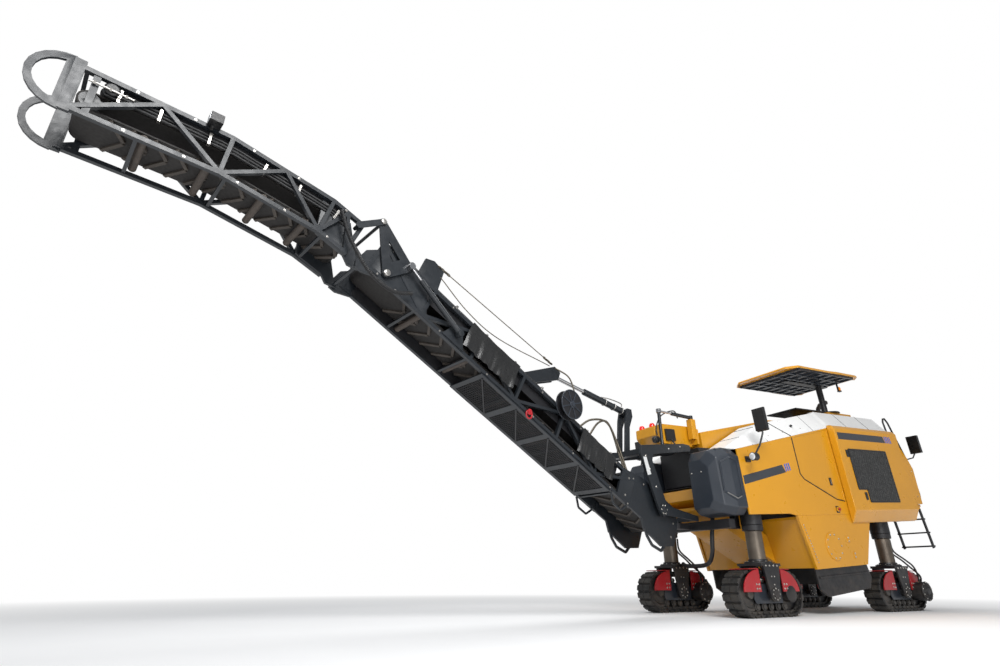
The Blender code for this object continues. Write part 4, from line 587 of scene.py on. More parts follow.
for tag, side in (("left", 1), ("right", -1)):
    y = side * SKIN
    seam = Solid(BODY)
    seam.tube([(-1.204, y, panel_top(-1.2) - 0.02), (-1.204, y, 1.885), (-1.273, y, 1.803), (-2.003, y, 1.503),
               (-2.207, y, 1.475)], 0.009, 8)
    seam.tube([(-1.204, y, panel_top(-1.2) + 0.002), (-0.96, side * 0.79, ridge(-0.96) + 0.002),
               (-0.96, side * 0.44, ridge(-0.96) + 0.002)], 0.008, 8)
    for x in (-0.22, -0.6, -1.85, -2.9, -3.6):
        seam.tube([(x, y, panel_top(x) + 0.002), (x, side * 0.79, ridge(x) + 0.001),
                   (x, side * (0.44 if x > -1.84 else 0.715), ridge(x) + 0.001)], 0.0032, 6)
    seam.done("rubber_seams_" + tag, HOSE, "chassis", "frame_black")

    trim = Solid(BODY)
    for x in (-0.32, -1.42):
        height = panel_top(x) * 0.5 + ridge(x) * 0.5
        trim.lathe((x, side * 0.895, height), (0, side * 0.82, 0.57),
                   [(0, 0.024), (0.006, 0.024), (0.01, 0.014), (0.02, 0.014), (0.022, 0.02), (0.03, 0.018)], 18)
    trim.hose([(-0.86, side * 0.7, ridge(-0.86)), (-0.88, side * 0.7, ridge(-0.86) + 0.07),
               (-0.98, side * 0.7, ridge(-0.98) + 0.075), (-1.02, side * 0.7, ridge(-1.02))], 0.01)
    trim.box((-1.99, y - side * 0.002, 1.3), (-1.91, y + side * 0.004, 1.4))
    trim.done("hood_knobs_" + tag, PLASTIC, "chassis", "frame_black", 0.001)

    studs = Solid(BODY)
    for x in (-0.05, -0.13, -0.35, -0.5, -0.72, -1.1, -1.6):
        studs.bolt((x, side * 0.94, panel_top(x) * 0.72 + ridge(x) * 0.28 + 0.002), (0, side * 0.82, 0.57), 0.007)
    studs.bolts([(-0.975 - 0.145 * t, 1.14 - 0.52 * t) for t in (i / 14 for i in range(15))], y + side * 0.004, side,
                0.007)
    studs.bolt_ring((-1.61, y + side * 0.012, 0.82), 0.172, 10, (0, side, 0), 0.009)
    studs.bolts([(-2.02, 0.93), (-2.02, 0.88), (-2.09, 0.7), (-2.09, 0.65)], y + side * 0.006, side, 0.01)
    studs.bolts([(-4.55, 1.55), (-4.62, 2.00), (-4.42, 2.15), (-2.45, 1.2), (-2.62, 1.19)], y, side, 0.007)
    studs.done("body_bolts_" + tag, BOLT, "chassis", "bare_steel")

    cover = Solid(BODY)
    cover.lathe((-1.61, y - side * 0.002, 0.82), (0, side, 0),
                [(0, 0.203), (0.01, 0.203), (0.014, 0.199), (0.014, 0.1), (0.0135, 0.0)], 56)
    for z, x in ((0.905, -2.02), (0.675, -2.09)):
        cover.box((x - 0.03, y - side * 0.002, z - 0.05), (x + 0.03, y + side * 0.007, z + 0.05))
    cover.bar((-0.972, y + side * 0.0015, 1.155), (-1.123, y + side * 0.0015, 0.605), 0.005, 0.036)
    cover.done("housing_covers_" + tag, YELLOW, "chassis", "machine_yellow", 0.002)

    Solid(BODY).lathe((-1.95, y + side * 0.004, 1.35), (0, side, 0),
                      [(0, 0.036), (0.01, 0.036), (0.014, 0.03)], 28).done(
        "stop_button_ring_" + tag, YELLOW, "chassis", "machine_yellow")
    Solid(BODY).lathe((-1.95, y + side * 0.016, 1.35), (0, side, 0),
                      [(0, 0.012), (0.012, 0.012), (0.014, 0.024), (0.024, 0.024), (0.03, 0.018)], 24).done(
        "stop_button_" + tag, RED, "chassis", "machine_yellow")

    decal("panel_stripe_" + tag, [[(0.15, 1.705), (0.15, 1.825), (-0.8, 2.005), (-0.86, 1.895)]], y, side, STRIPE,
          "chassis")
    slanted = [(x, 1.905 - (x + 0.86) * 0.19) for x in (-0.865 - 0.05 * k for k in range(3))]
    decal("panel_bars_" + tag, [[(x, z), (x - 0.028, z + 0.005), (x - 0.01, z + 0.115), (x + 0.018, z + 0.11)]
                                for x, z in slanted], y, side, BLUE, "chassis")

    door = "side_door_%s_body" % tag
    latch = Solid(BODY)
    latch.box((-1.985, y - side * 0.001, 1.715), (-1.925, y + side * 0.007, 1.835))
    latch.lathe((-1.955, y + side * 0.006, 1.79), (0, side, 0), [(0, 0.02), (0.006, 0.02), (0.008, 0.014)], 18)
    latch.done("side_door_latch_" + tag, PLASTIC, door, "frame_black", 0.004)
    Solid(BODY).bar((-1.955, y + side * 0.012, 1.735), (-1.955, y + side * 0.012, 1.805), 0.006, 0.014).done(
        "side_door_handle_" + tag, BOLT, door, "bare_steel", 0.002)

    air, f = "air_door_%s_body" % tag, side * DOOR_FACE
    decal("air_door_stripe_" + tag, [[(-2.3, 2.45), (-2.3, 2.565), (-3.7, 2.565), (-3.74, 2.45)]], f, side, STRIPE,
          air)
    decal("air_door_bars_" + tag, [[(x, 2.45), (x - 0.03, 2.45), (x - 0.008, 2.565), (x + 0.022, 2.565)]
                                   for x in (-3.755 - 0.055 * k for k in range(4))], f, side, BLUE, air)
    Solid(BODY).plate(GRILLE, f - side * 0.001, f + side * 0.002).done(
        "grille_back_" + tag, BLACK, air, "frame_black", flat=True)
    Solid(BODY).rail(GRILLE, f + side * 0.005, 0.012, 0.022, closed=True).done(
        "grille_rim_" + tag, PLASTIC, air, "frame_black", 0.002)
    wires = Solid(BODY)
    upright, level = 58, 44
    for i in range(1, upright):
        x = GRILLE_FRONT - GRILLE_LENGTH * i / upright
        floor = GRILLE_LOW if x < GRILLE_STEP else GRILLE_SILL
        wires.tube([(x + 0.003 * sin(9 * k + i), f + side * (0.006 + 0.003 * sin(5 * k + 2 * i)),
                     floor + (GRILLE_TOP - floor) * k / 9) for k in range(10)], 0.0026, 4)
    for i in range(1, level):
        z = GRILLE_LOW + GRILLE_HEIGHT * i / level
        end = GRILLE_FRONT if z > GRILLE_SILL else GRILLE_STEP
        wires.tube([(end + (GRILLE_REAR - end) * k / 9, f + side * (0.007 + 0.003 * sin(4 * k + 3 * i)),
                     z + 0.003 * sin(7 * k + i)) for k in range(10)], 0.0026, 4)
    wires.done("grille_wires_" + tag, MESH_WIRE, air, "bare_steel")
    latch = Solid(BODY)
    for x, z in ((-2.435, 2.22), (-2.655, 1.54)):
        latch.box((x - 0.032, f - side * 0.001, z - 0.06), (x + 0.032, f + side * 0.009, z + 0.06))
        latch.lathe((x, f + side * 0.008, z + 0.01), (0, side, 0), [(0, 0.018), (0.006, 0.018), (0.008, 0.012)], 18)
    latch.done("air_door_latches_" + tag, PLASTIC, air, "frame_black", 0.004)

    nose, lines = Solid(BODY), Solid(BODY)

    def nose_y(x):
        return side * ((1.0 - (x - 0.165) * 0.0256) if x < 0.36 else (0.995 - (x - 0.36) * 0.472))

    nose.rail([(0.235, 1.54), (0.225, 2.02), (0.36, 2.08), (0.5, 2.02), (0.51, 1.62), (0.36, 1.5)],
              lambda x: nose_y(x) + side * 0.002, 0.016, 0.03, closed=True)
    nose.box((0.3, side * 0.6, 2.19), (0.46, side * 0.86, 2.222), -6)
    nose.done("bumper_relief_" + tag, SLATE, "chassis", "slate_grey", 0.006)
    # a bright metal strip along the bottom of the bumper's recess is a painted highlight; the bolts below are real
    lines.rail([(0.27, 1.545), (0.36, 1.515), (0.48, 1.6)], lambda x: nose_y(x) + side * 0.01, 0.008, 0.014)
    for yy in (0.5, 0.68):
        lines.bolt((0.616, side * yy, 1.9 + 0.02 * yy), (1, 0, 0), 0.012)
    lines.done("bumper_bolts_and_highlight_strip_" + tag, BOLT, "chassis", "bare_steel", 0.001)

    glass = Solid(BODY)
    glass.box((-0.1935, side * 1.172, 2.455), (-0.1905, side * 1.328, 2.745))
    glass.box((-4.7835, side * (MIRROR_OUT + 0.09), 2.335), (-4.7805, side * (MIRROR_OUT + 0.25), 2.605))
    glass.done("mirror_glass_" + tag, MIRROR, "chassis", "frame_black", flat=True)
    Solid(BODY).lathe((0.125, side * 1.2, 2.06), (1, 0, 0),
                      [(0, 0.05), (0.008, 0.05), (0.016, 0.04), (0.02, 0.02)], 32).done(
        "work_lamp_lens_" + tag, LENS, "chassis", "frame_black")
    lamp = Solid(BODY)
    lamp.lathe((0.03, side * 1.2, 2.06), (1, 0, 0),
               [(0, 0.03), (0.02, 0.05), (0.09, 0.0585), (0.104, 0.0585), (0.104, 0.052)], 32)
    lamp.lathe((-0.02, side * 1.1, 2.03), UP, [(0, 0.022), (0.02, 0.03), (0.05, 0.03), (0.06, 0.02)], 20)
    lamp.box((-0.198, side * 1.156, 2.43), (-0.16, side * 1.34, 2.77))
    lamp.box((-4.782, side * (MIRROR_OUT + 0.075), 2.31), (-4.72, side * (MIRROR_OUT + 0.265), 2.63))
    lamp.done("lamp_and_mirror_shells_" + tag, PLASTIC, "chassis", "frame_black", 0.012)

# skids beside the drum, the scraper behind it, and black panels around the transfer point that paint the shade there
dark = Solid(BODY)
for s in (-1, 1):
    dark.plate([(-1.1, 0.6), (-2.44, 0.6), (-2.5, 0.34), (-2.4, 0.19), (-1.3, 0.15), (-1.12, 0.26)], s * 0.905,
               s * 0.935)
    dark.plate([(-1.16, 0.4), (-2.42, 0.4), (-2.42, 0.43), (-1.16, 0.43)], s * 0.935, s * 0.95)
dark.box((-2.455, -0.9, 0.24), (-2.415, 0.9, 0.66))
for yy in (-0.5, 0.0, 0.5):
    dark.box((-2.475, yy - 0.03, 0.28), (-2.455, yy + 0.03, 0.6))
dark.done("side_skids_and_scraper", BLACK, "chassis", "frame_black", 0.006)
# black panels round the transfer point: painted shade where the machine's inside lies in shadow
dark = Solid(BODY)
for s in (-1, 1):
    dark.plate([(-0.7, 1.4), (0.26, 1.4), (0.26, 2.33), (-0.7, 2.33)], s * 0.392, s * 0.402)
dark.box((0.25, -0.392, 1.8), (0.26, 0.392, 2.33))
for s in (-1, 1):
    dark.plate([(-0.6, 1.36), (0.39, 1.425), (0.448, 1.73), (0.3, 1.775), (-0.6, 1.7)], s * 0.362, s * 0.37)
dark.bar((-0.2, 0.0, 1.765), (0.36, 0.0, 1.765), 0.7, 0.012)
dark.done("transfer_painted_shade_panels", BLACK, "chassis", "frame_black", 0.002)

# canopy
ribs = Solid(BODY)
ribs.box((-3.74, -0.32, 3.716), (-2.04, 0.92, 3.729))
for yy in (-0.3, -0.05, 0.16, 0.44, 0.66, 0.9):
    ribs.box((-3.74, yy - 0.012, 3.694), (-2.04, yy + 0.012, 3.718))
for i in range(8):
    x = -2.08 - 0.235 * i
    ribs.box((x - 0.012, -0.31, 3.69), (x + 0.012, 0.91, 3.718))
ribs.done("canopy_underside", SLATE, "canopy", "slate_grey", 0.003)
ribs = Solid(BODY)
ribs.lathe((-3.6, 0.3, 3.698), UP, [(0, 0.09), (0.006, 0.1), (0.018, 0.1)], 28)
ribs.box((-3.735, 0.575, 3.545), (-3.72, 0.605, 3.725))
ribs.box((-3.8, 0.565, 3.54), (-3.72, 0.615, 3.548))
ribs.lathe((-3.765, 0.59, 3.548), UP, [(0, 0.036), (0.012, 0.036), (0.015, 0.03)], 24)
ribs.done("post_fittings", BLACK, "canopy", "slate_grey", 0.002)
Solid(BODY).lathe((-3.765, 0.59, 3.562), UP,
                  [(0, 0.03), (0.05, 0.029), (0.066, 0.024), (0.076, 0.012), (0.079, 0.004)], 24).done(
    "amber_beacon", AMBER, "canopy", "slate_grey")
plinth = Solid(BODY)
plinth.lathe((-3.6, 0.3, 3.141), UP, [(0, 0.24), (0.01, 0.245), (0.024, 0.235), (0.03, 0.14), (0.036, 0.118)], 40)
plinth.box((-3.3, -0.16, 3.141), (-2.45, 0.44, 3.163))
plinth.done("post_plinth", BLACK, "chassis", "frame_black", 0.003)
Solid(BODY).lathe((-4.01, -0.06, 3.145), UP, [(0, 0.075), (0.012, 0.075), (0.014, 0.052), (0.06, 0.05),
                                              (0.062, 0.054), (0.085, 0.054), (0.087, 0.048)], 28).done(
    "exhaust_flange", EXHAUST, "chassis", "bare_steel")

# operator's seat and console
seat_base = Solid(BODY)
seat_base.box((-2.92, 0.2, 2.241), (-2.72, 0.4, 2.4))
seat_base.box((-3.04, 0.08, 2.4), (-2.62, 0.52, 2.425))
seat_base.done("seat_base", PLASTIC, "chassis", "frame_black", 0.01, ("operator_seat",))
for name, low, high, turn in (("seat_cushion", (-3.05, 0.075, 2.426), (-2.605, 0.525, 2.535), 0),
                              ("seat_back", (-3.13, 0.085, 2.5), (-3.03, 0.515, 2.9), -8)):
    pad = Solid(BODY).box(low, high, turn).done(name, VINYL, "chassis", "frame_black")
    mod = pad.modifiers.new("round", "BEVEL")
    mod.width, mod.segments = 0.035, 5
desk, keys = Solid(BODY), Solid(BODY)


def desk_point(t, y, h):
    """Point at a distance down the sloping desk, across it, and off it."""
    return (-2.01 - 0.6806 * t - 0.733 * h, y, 2.907 - 0.733 * t + 0.6806 * h)


for y0, y1, t0, t1 in ((-0.16, 0.16, 0.03, 0.2), (-0.46, -0.24, 0.04, 0.16), (0.24, 0.46, 0.04, 0.16)):
    desk.block(desk_point, -0.002, 0.012, ((t0, y0), (t1, y0), (t1, y1), (t0, y1)))
for y in (-0.45, -0.35, -0.25, 0.25, 0.35, 0.45):
    for t in (0.21, 0.27):
        desk.lathe(desk_point(t, y, 0.0), (-0.733, 0, 0.681), [(0, 0.016), (0.012, 0.016), (0.016, 0.011)], 14)
for y in (-0.08, 0.08):
    keys.lathe(desk_point(0.28, y, 0.0), (-0.5, 0, 0.86),
               [(0, 0.03), (0.02, 0.014), (0.09, 0.01), (0.1, 0.022), (0.14, 0.026), (0.155, 0.014)], 18)
desk.done("console_displays", SLATE, "chassis", "slate_grey", 0.002)
keys.done("console_levers", PLASTIC, "chassis", "frame_black")

# slew bracket lamps and covers
extra = Solid(BODY)
extra.box((0.52, 0.195, 2.45), (0.71, 0.232, 2.63))
extra.lathe((0.94, 0.195, 2.45), (0, 1, 0),
            [(0, 0.055), (0.05, 0.055), (0.06, 0.045), (0.075, 0.045), (0.08, 0.03)], 28)
extra.hose([(0.62, 0.23, 2.47), (0.6, 0.3, 2.35), (0.45, 0.33, 2.25), (0.3, 0.36, 2.22)], 0.012)
extra.hose([(0.45, 0.27, 2.8), (0.55, 0.3, 2.9), (0.8, 0.28, 2.82), (0.9, 0.24, 2.66), (0.92, 0.24, 2.52)], 0.01)
extra.done("bracket_covers", PLASTIC, "chassis", "frame_black", 0.006)
extra = Solid(BODY)
for y in (-0.11, 0.11):
    extra.lathe((0.86, y, 2.665), UP, [(0, 0.045), (0.03, 0.044), (0.055, 0.034), (0.066, 0.016)], 24)
extra.box((0.42, -0.14, 2.682), (0.7, 0.14, 2.705))
extra.done("red_tail_lamps", RED_LENS, "chassis", "machine_yellow", 0.006)
thick = Solid(MACHINE)
thick.tube(smooth_path([(0.26, 0.38, 1.4), (0.35, 0.38, 1.05), (0.34, 0.32, 0.78), (0.24, 0.1, 0.66),
                        (0.08, -0.4, 0.655), (-0.04, -0.6, 0.69)]), 0.03, 14)
thick.done("hanging_hose", HOSE, ("chassis", "front_right_leg", MACHINE @ Vector((0.3, 0.35, 0.95)),
                                  MACHINE @ Vector((0.05, -0.48, 0.66))), "frame_black")


# ---------------------------------------------------------------- conveyor
def run_point(distance, offset):
    """Place and slope at a distance along the upper conveyor and an offset above its lower edge."""
    x, z = 0.0, 0.0
    for length, incline in RUNS:
        a = radians(incline)
        step = min(distance, length)
        x, z = x + step * cos(a), z + step * sin(a)
        distance -= step
        if distance <= 1e-9:
            break
    return x - offset * sin(a), z + offset * cos(a), a


def strip(stations, low, high):
    """Outline of a strip that follows the upper conveyor."""
    return [run_point(s, low)[:2] for s in stations] + [run_point(s, high)[:2] for s in stations][::-1]


def chevron(solid, x, z, dx, dz):
    for y in (-0.225, 0.225):
        solid.bar((x, y, z), (x + dx, y * 0.04, z + dz), 0.034, 0.028)


def roller(solid, x, z):
    solid.cyl((x, -0.25, z), (x, 0.25, z), 0.034, 22, 0.003)
    solid.cyl((x, -0.285, z), (x, 0.285, z), 0.01, 10)


refined("lower_belt", BELT, 0.0)
refined("upper_belt", BELT, 0.0)
cleats = Solid(LOWER)
for i in range(25):
    for n, d in ((0.027, 0.15), (-0.187, -0.15)):
        chevron(cleats, 0.19 * i, n, d, 0.0)
cleats.done("lower_belt_cleats", CLEAT, "lower_conveyor", "belt_rubber", 0.004)
cleats = Solid(UPPER)
for i in range(13):
    for n, d in ((0.215 + 0.097, 0.13), (0.215 - 0.097, -0.13)):
        x, z, a = run_point(0.32 + 0.165 * i, n)
        chevron(cleats, x, z, d * cos(a), d * sin(a))
cleats.done("upper_belt_cleats", CLEAT, "upper_conveyor", "belt_rubber", 0.004)

skirts = Solid(LOWER)
skirts.plate([(0.9, -0.285), (4.95, -0.285), (4.95, 0.1), (0.9, 0.1)], -0.262, -0.257)
skirts.plate([(0.9, -0.055), (4.6, -0.055), (4.6, 0.105), (0.9, 0.105)], 0.243, 0.248)
skirts.done("lower_belt_skirts", BLACK, "lower_conveyor", "slate_grey", 0.001)
skirts = Solid(UPPER)
along = [0.36 + 0.1 * i for i in range(21)]
for y in (-0.25, 0.245):
    skirts.plate(strip(along, 0.3, 0.474), y, y + 0.005)
skirts.plate(strip(along, 0.476, 0.484), -0.27, 0.19)
skirts.done("upper_belt_skirts", BLACK, "upper_conveyor", "slate_grey", 0.001)

rollers = Solid(LOWER)
for s in (1.25, 2.05, 2.85, 3.55, 4.3):
    roller(rollers, s, -0.238)
rollers.done("lower_return_rollers", IDLER, "lower_conveyor", "bare_steel")
rollers = Solid(UPPER)
for station in (0.62, 1.05, 1.55, 2.05):
    roller(rollers, *run_point(station, 0.07)[:2])
rollers.done("upper_return_rollers", IDLER, "upper_conveyor", "bare_steel")

grid = Solid(LOWER)
for x0 in (1.06, 1.64, 2.22, 2.8):
    for i in range(17):
        grid.bar((x0 + 0.5 * i / 16, -0.255, -0.311), (x0 + 0.5 * i / 16, 0.255, -0.311), 0.008, 0.007)
    for i in range(15):
        y = -0.25 + 0.5 * i / 14
        grid.bar((x0 - 0.005, y, -0.315), (x0 + 0.505, y, -0.315), 0.007, 0.007)
    grid.bar((x0, -0.25, -0.322), (x0 + 0.5, 0.25, -0.322), 0.018, 0.01)
grid.done("belt_guard_mesh", BLACK, "lower_conveyor", "frame_black")

pipes, clips = Solid(LOWER), Solid(LOWER)
for y, n in ((0.262, 0.15), (0.23, 0.152), (0.246, 0.176)):
    pipes.hose([(0.75, y, n - 0.02), (0.95, y, n), (2.5, y, n), (4.1, y, n), (4.75, y, n + 0.01),
                (4.98, y - 0.02, n + 0.06)], 0.012, 4)
for s in (1.1, 1.6, 2.5, 3.0, 3.5, 4.0, 4.5):
    clips.box((s - 0.014, 0.21, 0.118), (s + 0.014, 0.282, 0.192))
pipes.done("lower_pipes", HOSE, "lower_conveyor", "frame_black")
clips.done("lower_pipe_clips", BOLT, "lower_conveyor", "bare_steel", 0.003)
pipes, clips = Solid(UPPER), Solid(UPPER)
for n in (0.3, 0.334, 0.368):
    path = [run_point(0.3 + 0.1 * i, n) for i in range(22)]
    pipes.tube([(x, 0.272, z) for x, z, a in path], 0.012)
for s in (0.45, 0.8, 1.15, 1.6, 2.0, 2.3):
    x, z, a = run_point(s, 0.334)
    clips.box((x - 0.013, 0.252, z - 0.065), (x + 0.013, 0.292, z + 0.065), -degrees(a))
pipes.done("upper_pipes", HOSE, "upper_conveyor", "frame_black")
clips.done("upper_pipe_clips", BOLT, "upper_conveyor", "bare_steel", 0.003)

Solid(UPPER).plate(strip([0.5 + 0.095 * i for i in range(21)], 0.5, 0.488), -0.285, 0.19).done(
    "upper_top_cover", COVER, "upper_conveyor", "slate_grey", 0.002)

light, lens = Solid(UPPER), Solid(UPPER)
x, z, a = run_point(1.62, 0.5)
light.box((x - 0.015, 0.29, z - 0.09), (x + 0.015, 0.36, z - 0.07))
light.box((x - 0.07, 0.32, z - 0.07), (x + 0.04, 0.43, z + 0.02))
lens.box((x + 0.041, 0.33, z - 0.06), (x + 0.046, 0.42, z + 0.01))
x, z, a = run_point(2.36, 0.36)
light.lathe((x, 0.1, z), (0, 1, 0), [(0, 0.05), (0.01, 0.064), (0.09, 0.064), (0.095, 0.072), (0.12, 0.072),
                                      (0.125, 0.06), (0.2, 0.06), (0.21, 0.045)], 28)
light.box((x - 0.05, 0.17, z + 0.05), (x + 0.03, 0.25, z + 0.105))
for k, dx in enumerate((-0.03, 0.01)):
    light.hose([(x + dx, 0.21, z + 0.09), (x + dx - 0.02, 0.22, z + 0.125), (x - 0.14, 0.24, z + 0.125),
                (x - 0.3, 0.27, z + 0.1 - 0.02 * k)], 0.011)
light.done("tip_lamp_and_motor", PLASTIC, "upper_conveyor", "frame_black", 0.006)
lens.done("tip_lamp_lens", LENS, "upper_conveyor", "frame_black", 0.002)
tension = Solid(UPPER)
for s in (-1, 1):
    start, end = (Vector((x, s * 0.322, z)) for x, z, a in (run_point(2.2, 0.33), run_point(2.52, 0.33)))
    tension.cyl(start, end, 0.009, 10)
    for t in (0.15, 0.5, 0.85):
        tension.lathe(start.lerp(end, t), (1, 0, 0.03), [(0, 0.016), (0.016, 0.016)], 6)
    for st in (0.4, 0.85, 1.3, 1.75, 2.2):
        tension.bolts([run_point(st, n)[:2] for n in (0.022, 0.438)], s * 0.31, s, 0.008)
tension.done("tip_tension_rods", BOLT, "upper_conveyor", "bare_steel")

caps, capbolts = Solid(LOWER), Solid(LOWER)
for s in (-1, 1):
    caps.lathe((3.854, s * 0.385, -0.168), (0, s, 0), [(0, 0.034), (0.018, 0.034), (0.022, 0.024)], 22)
    capbolts.bolts([(x, z) for x in (0.62, 1.0, 1.75, 2.5, 3.3, 4.05, 4.7, 4.95) for z in (-0.278, 0.098)],
                   s * 0.31, s, 0.008)
    capbolts.bolts([(-0.35, -0.2), (-0.35, 0.0), (0.1, 0.15), (0.4, 0.15), (0.7, -0.2), (0.7, 0.05)],
                   s * 0.308, s, 0.01)
caps.done("fold_base_caps", CONVEYOR, "lower_conveyor", "slate_grey")
capbolts.done("lower_frame_bolts", BOLT, "lower_conveyor", "bare_steel")
caps = Solid(LOWER)
for s in (-1, 1):
    for x, z, radius in ((4.882, -0.22, 0.036), (5.23, 0.264, 0.032), (4.719, 0.054, 0.028)):
        caps.lathe((x, s * 0.341, z), (0, s, 0), [(0, radius), (0.026, radius), (0.03, radius * 0.7)], 22)
caps.done("rocker_pin_caps", BOLT, "rocker", "slate_grey")

hooks, shackle = Solid(LOWER), Solid(LOWER)
for s in (-1, 1):
    hooks.rail([(-0.28, -0.34), (-0.22, -0.47), (-0.02, -0.5), (0.12, -0.44), (0.2, -0.36)], s * 0.292, 0.024, 0.036)
    hooks.rail([(0.62, -0.31), (0.7, -0.42), (0.86, -0.42), (0.95, -0.31)], s * 0.292, 0.02, 0.026)
hooks.done("lifting_hooks", CONVEYOR, "lower_conveyor", "slate_grey", 0.004)
shackle.lathe((2.58, 0.312, -0.27), (0, 1, 0), [(0, 0.035), (0.02, 0.035), (0.024, 0.02)], 24)
shackle.tube([(2.58 + 0.045 * cos(a), 0.332, -0.31 + 0.05 * sin(a)) for a in circle(20)], 0.01, closed=True)
shackle.done("red_shackle", RED, "lower_conveyor", "slate_grey")

low, high = extent("hose_reel", 1, LOWER)
reel = Solid(LOWER)
centre = Vector((2.09, 0, 0.2))
for y in (low - 0.003, high + 0.003):
    reel.tube([centre + Vector((0.184 * cos(a), y, 0.184 * sin(a))) for a in circle(40)], 0.008, 8, closed=True)
    for a in circle(8):
        u = Vector((cos(a), 0, sin(a)))
        reel.bar(centre + u * 0.03 + Vector((0, y, 0)), centre + u * 0.18 + Vector((0, y, 0)), 0.01, 0.014)
reel.lathe((2.09, high, 0.2), (0, 1, 0), [(0, 0.045), (0.014, 0.045), (0.018, 0.03), (0.03, 0.028)], 24)
reel.done("reel_spokes", SLATE, "reel", "frame_black", 0.002)

stays = Solid(LOWER)
STAY = (4.457, 0.3, 0.4), (2.36, 0.085, 0.76)
stays.tube(STAY, 0.006, 8)
stays.tube(smooth_path([(4.36, 0.3, 0.3), (3.85, 0.27, 0.235), (3.3, 0.2, 0.33), (2.4, 0.095, 0.7)]), 0.006, 8)
stays.hose([(2.3, 0.1, 0.74), (2.15, 0.24, 0.66), (2.05, 0.33, 0.45), (2.02, 0.34, 0.33)], 0.01)
stays.hose([(1.55, 0.27, 0.14), (1.45, 0.25, 0.42), (1.25, 0.18, 0.62), (1.05, 0.14, 0.6), (0.92, 0.24, 0.3),
            (0.8, 0.27, 0.15)], 0.014)
stays.hose([(1.75, 0.27, 0.14), (1.62, 0.3, 0.34), (1.35, 0.3, 0.5), (1.05, 0.26, 0.42), (0.72, 0.27, 0.14)], 0.014)
for end, other in (STAY, STAY[::-1]):
    end, other = Vector(end), Vector(other)
    lay = (other - end).normalized()
    for k in range(4):
        c = end + lay * (0.03 + 0.045 * k)
        flip = lay.cross(Vector((0, 1, 0))).normalized() if k % 2 else Vector((0, 1, 0))
        stays.tube([c + lay * 0.03 * cos(a) + flip * 0.015 * sin(a) for a in circle(14)], 0.005, 6, closed=True)
stays.done("stays_and_hoses", WIRE_ROPE, "lower_conveyor", "bare_steel")

conduit = Solid(LOWER)
start, end = Vector((4.55, 0.385, -0.22)), Vector((5.62, 0.35, -0.02))
path = smooth_path([start, (4.75, 0.42, -0.4), (5.05, 0.43, -0.42), (5.38, 0.4, -0.25), end], 10)
conduit.tube(path, 0.018, 12)
for p, q in zip(path, path[1:]):
    for t in (0.25, 0.75):
        c = p.lerp(q, t)
        conduit.lathe(c, q - p, [(-0.004, 0.019), (0.0, 0.0225), (0.004, 0.019)], 12)
conduit.done("corrugated_conduit", HOSE, ("lower_conveyor", "upper_conveyor", LOWER @ Vector((4.75, 0.42, -0.4)),
                                        LOWER @ Vector((5.45, 0.38, -0.18))), "frame_black")

# tarpaulins that hang along the conveyor's left side
for name, s0, s1, drop in (("tarpaulin_upper", 2.95, 3.75, 0.34), ("tarpaulin_lower", 1.05, 1.72, 0.34)):
    across, down = 40, 18
    bm = bmesh.new()
    rows = []
    for j in range(down + 1):
        v = j / down
        row = []
        for i in range(across + 1):
            u = i / across
            fold = 0.012 * sin(u * 21 + v * 2.0) + 0.008 * sin(u * 47 + 1.3) * v
            point = LOWER @ Vector((s0 + (s1 - s0) * u + 0.01 * sin(v * 5), 0.338 + fold * (0.25 + 0.75 * v),
                                    0.13 - drop * v - 0.012 * sin(u * pi) * (1 - v)))
            row.append(bm.verts.new(point))
        rows.append(row)
    for a, b in zip(rows, rows[1:]):
        for i in range(across):
            bm.faces.new((a[i], a[i + 1], b[i + 1], b[i]))
    bmesh.ops.recalc_face_normals(bm, faces=bm.faces)
    area = sum(face.calc_area() for face in bm.faces)
    mesh = bpy.data.meshes.new(name)
    bm.to_mesh(mesh)
    bm.free()
    tarp = finish_piece(bpy.data.objects.new(name, mesh), TARP, "lower_conveyor")

# yoke pins and cylinder bands
pins, pinbolts = Solid(SLEW), Solid(SLEW)
for s in (-1, 1):
    pins.lathe((ROOT_X, s * 0.386, ROOT_Z), (0, s, 0),
               [(0, 0.075), (0.012, 0.075), (0.016, 0.045), (0.03, 0.04), (0.034, 0.02)], 30)
    pinbolts.bolt_ring((ROOT_X, s * 0.4, ROOT_Z), 0.06, 6, (0, s, 0), 0.008)
    pinbolts.bolts([(0.92, 1.62), (1.02, 1.85), (1.09, 2.02), (0.5, 2.2), (0.2, 2.27)], s * 0.389, s, 0.009)
Solid(SLEW).plate([(1.005, 1.78), (1.085, 1.76), (1.15, 2.00), (1.075, 2.01)], 0.3895, 0.392).done(
    "yoke_reflector", COVER, "slewing_yoke", "slate_grey")
base, eye = Vector((0.92, 0.0, 2.73)), SLEW.inverted() @ (LOWER @ Vector((2.22, 0.0, 0.7)))
axis = (eye - base).normalized()
bands = Solid(SLEW)
side = axis.orthogonal().normalized()
other = axis.cross(side)
for t in (0.12, 0.3, 0.5):
    bands.tube([base + axis * t + (side * cos(a) + other * sin(a)) * 0.05 for a in circle(28)], 0.006, 8, closed=True)
bands.hose([base + axis * 0.1 + Vector((0, 0, 0.055)), base + axis * 0.13 + Vector((0, 0.02, 0.1)),
            base + axis * 0.4 + Vector((0, 0.03, 0.075)), base + axis * 0.56 + Vector((0, 0.0, 0.055))], 0.008)
bands.done("lift_cylinder_bands", BOLT, "lift_barrel", "slate_grey")
pins.done("root_pin_caps", CONVEYOR, "slewing_yoke", "slate_grey")
pinbolts.done("yoke_bolts", BOLT, "slewing_yoke", "bare_steel")

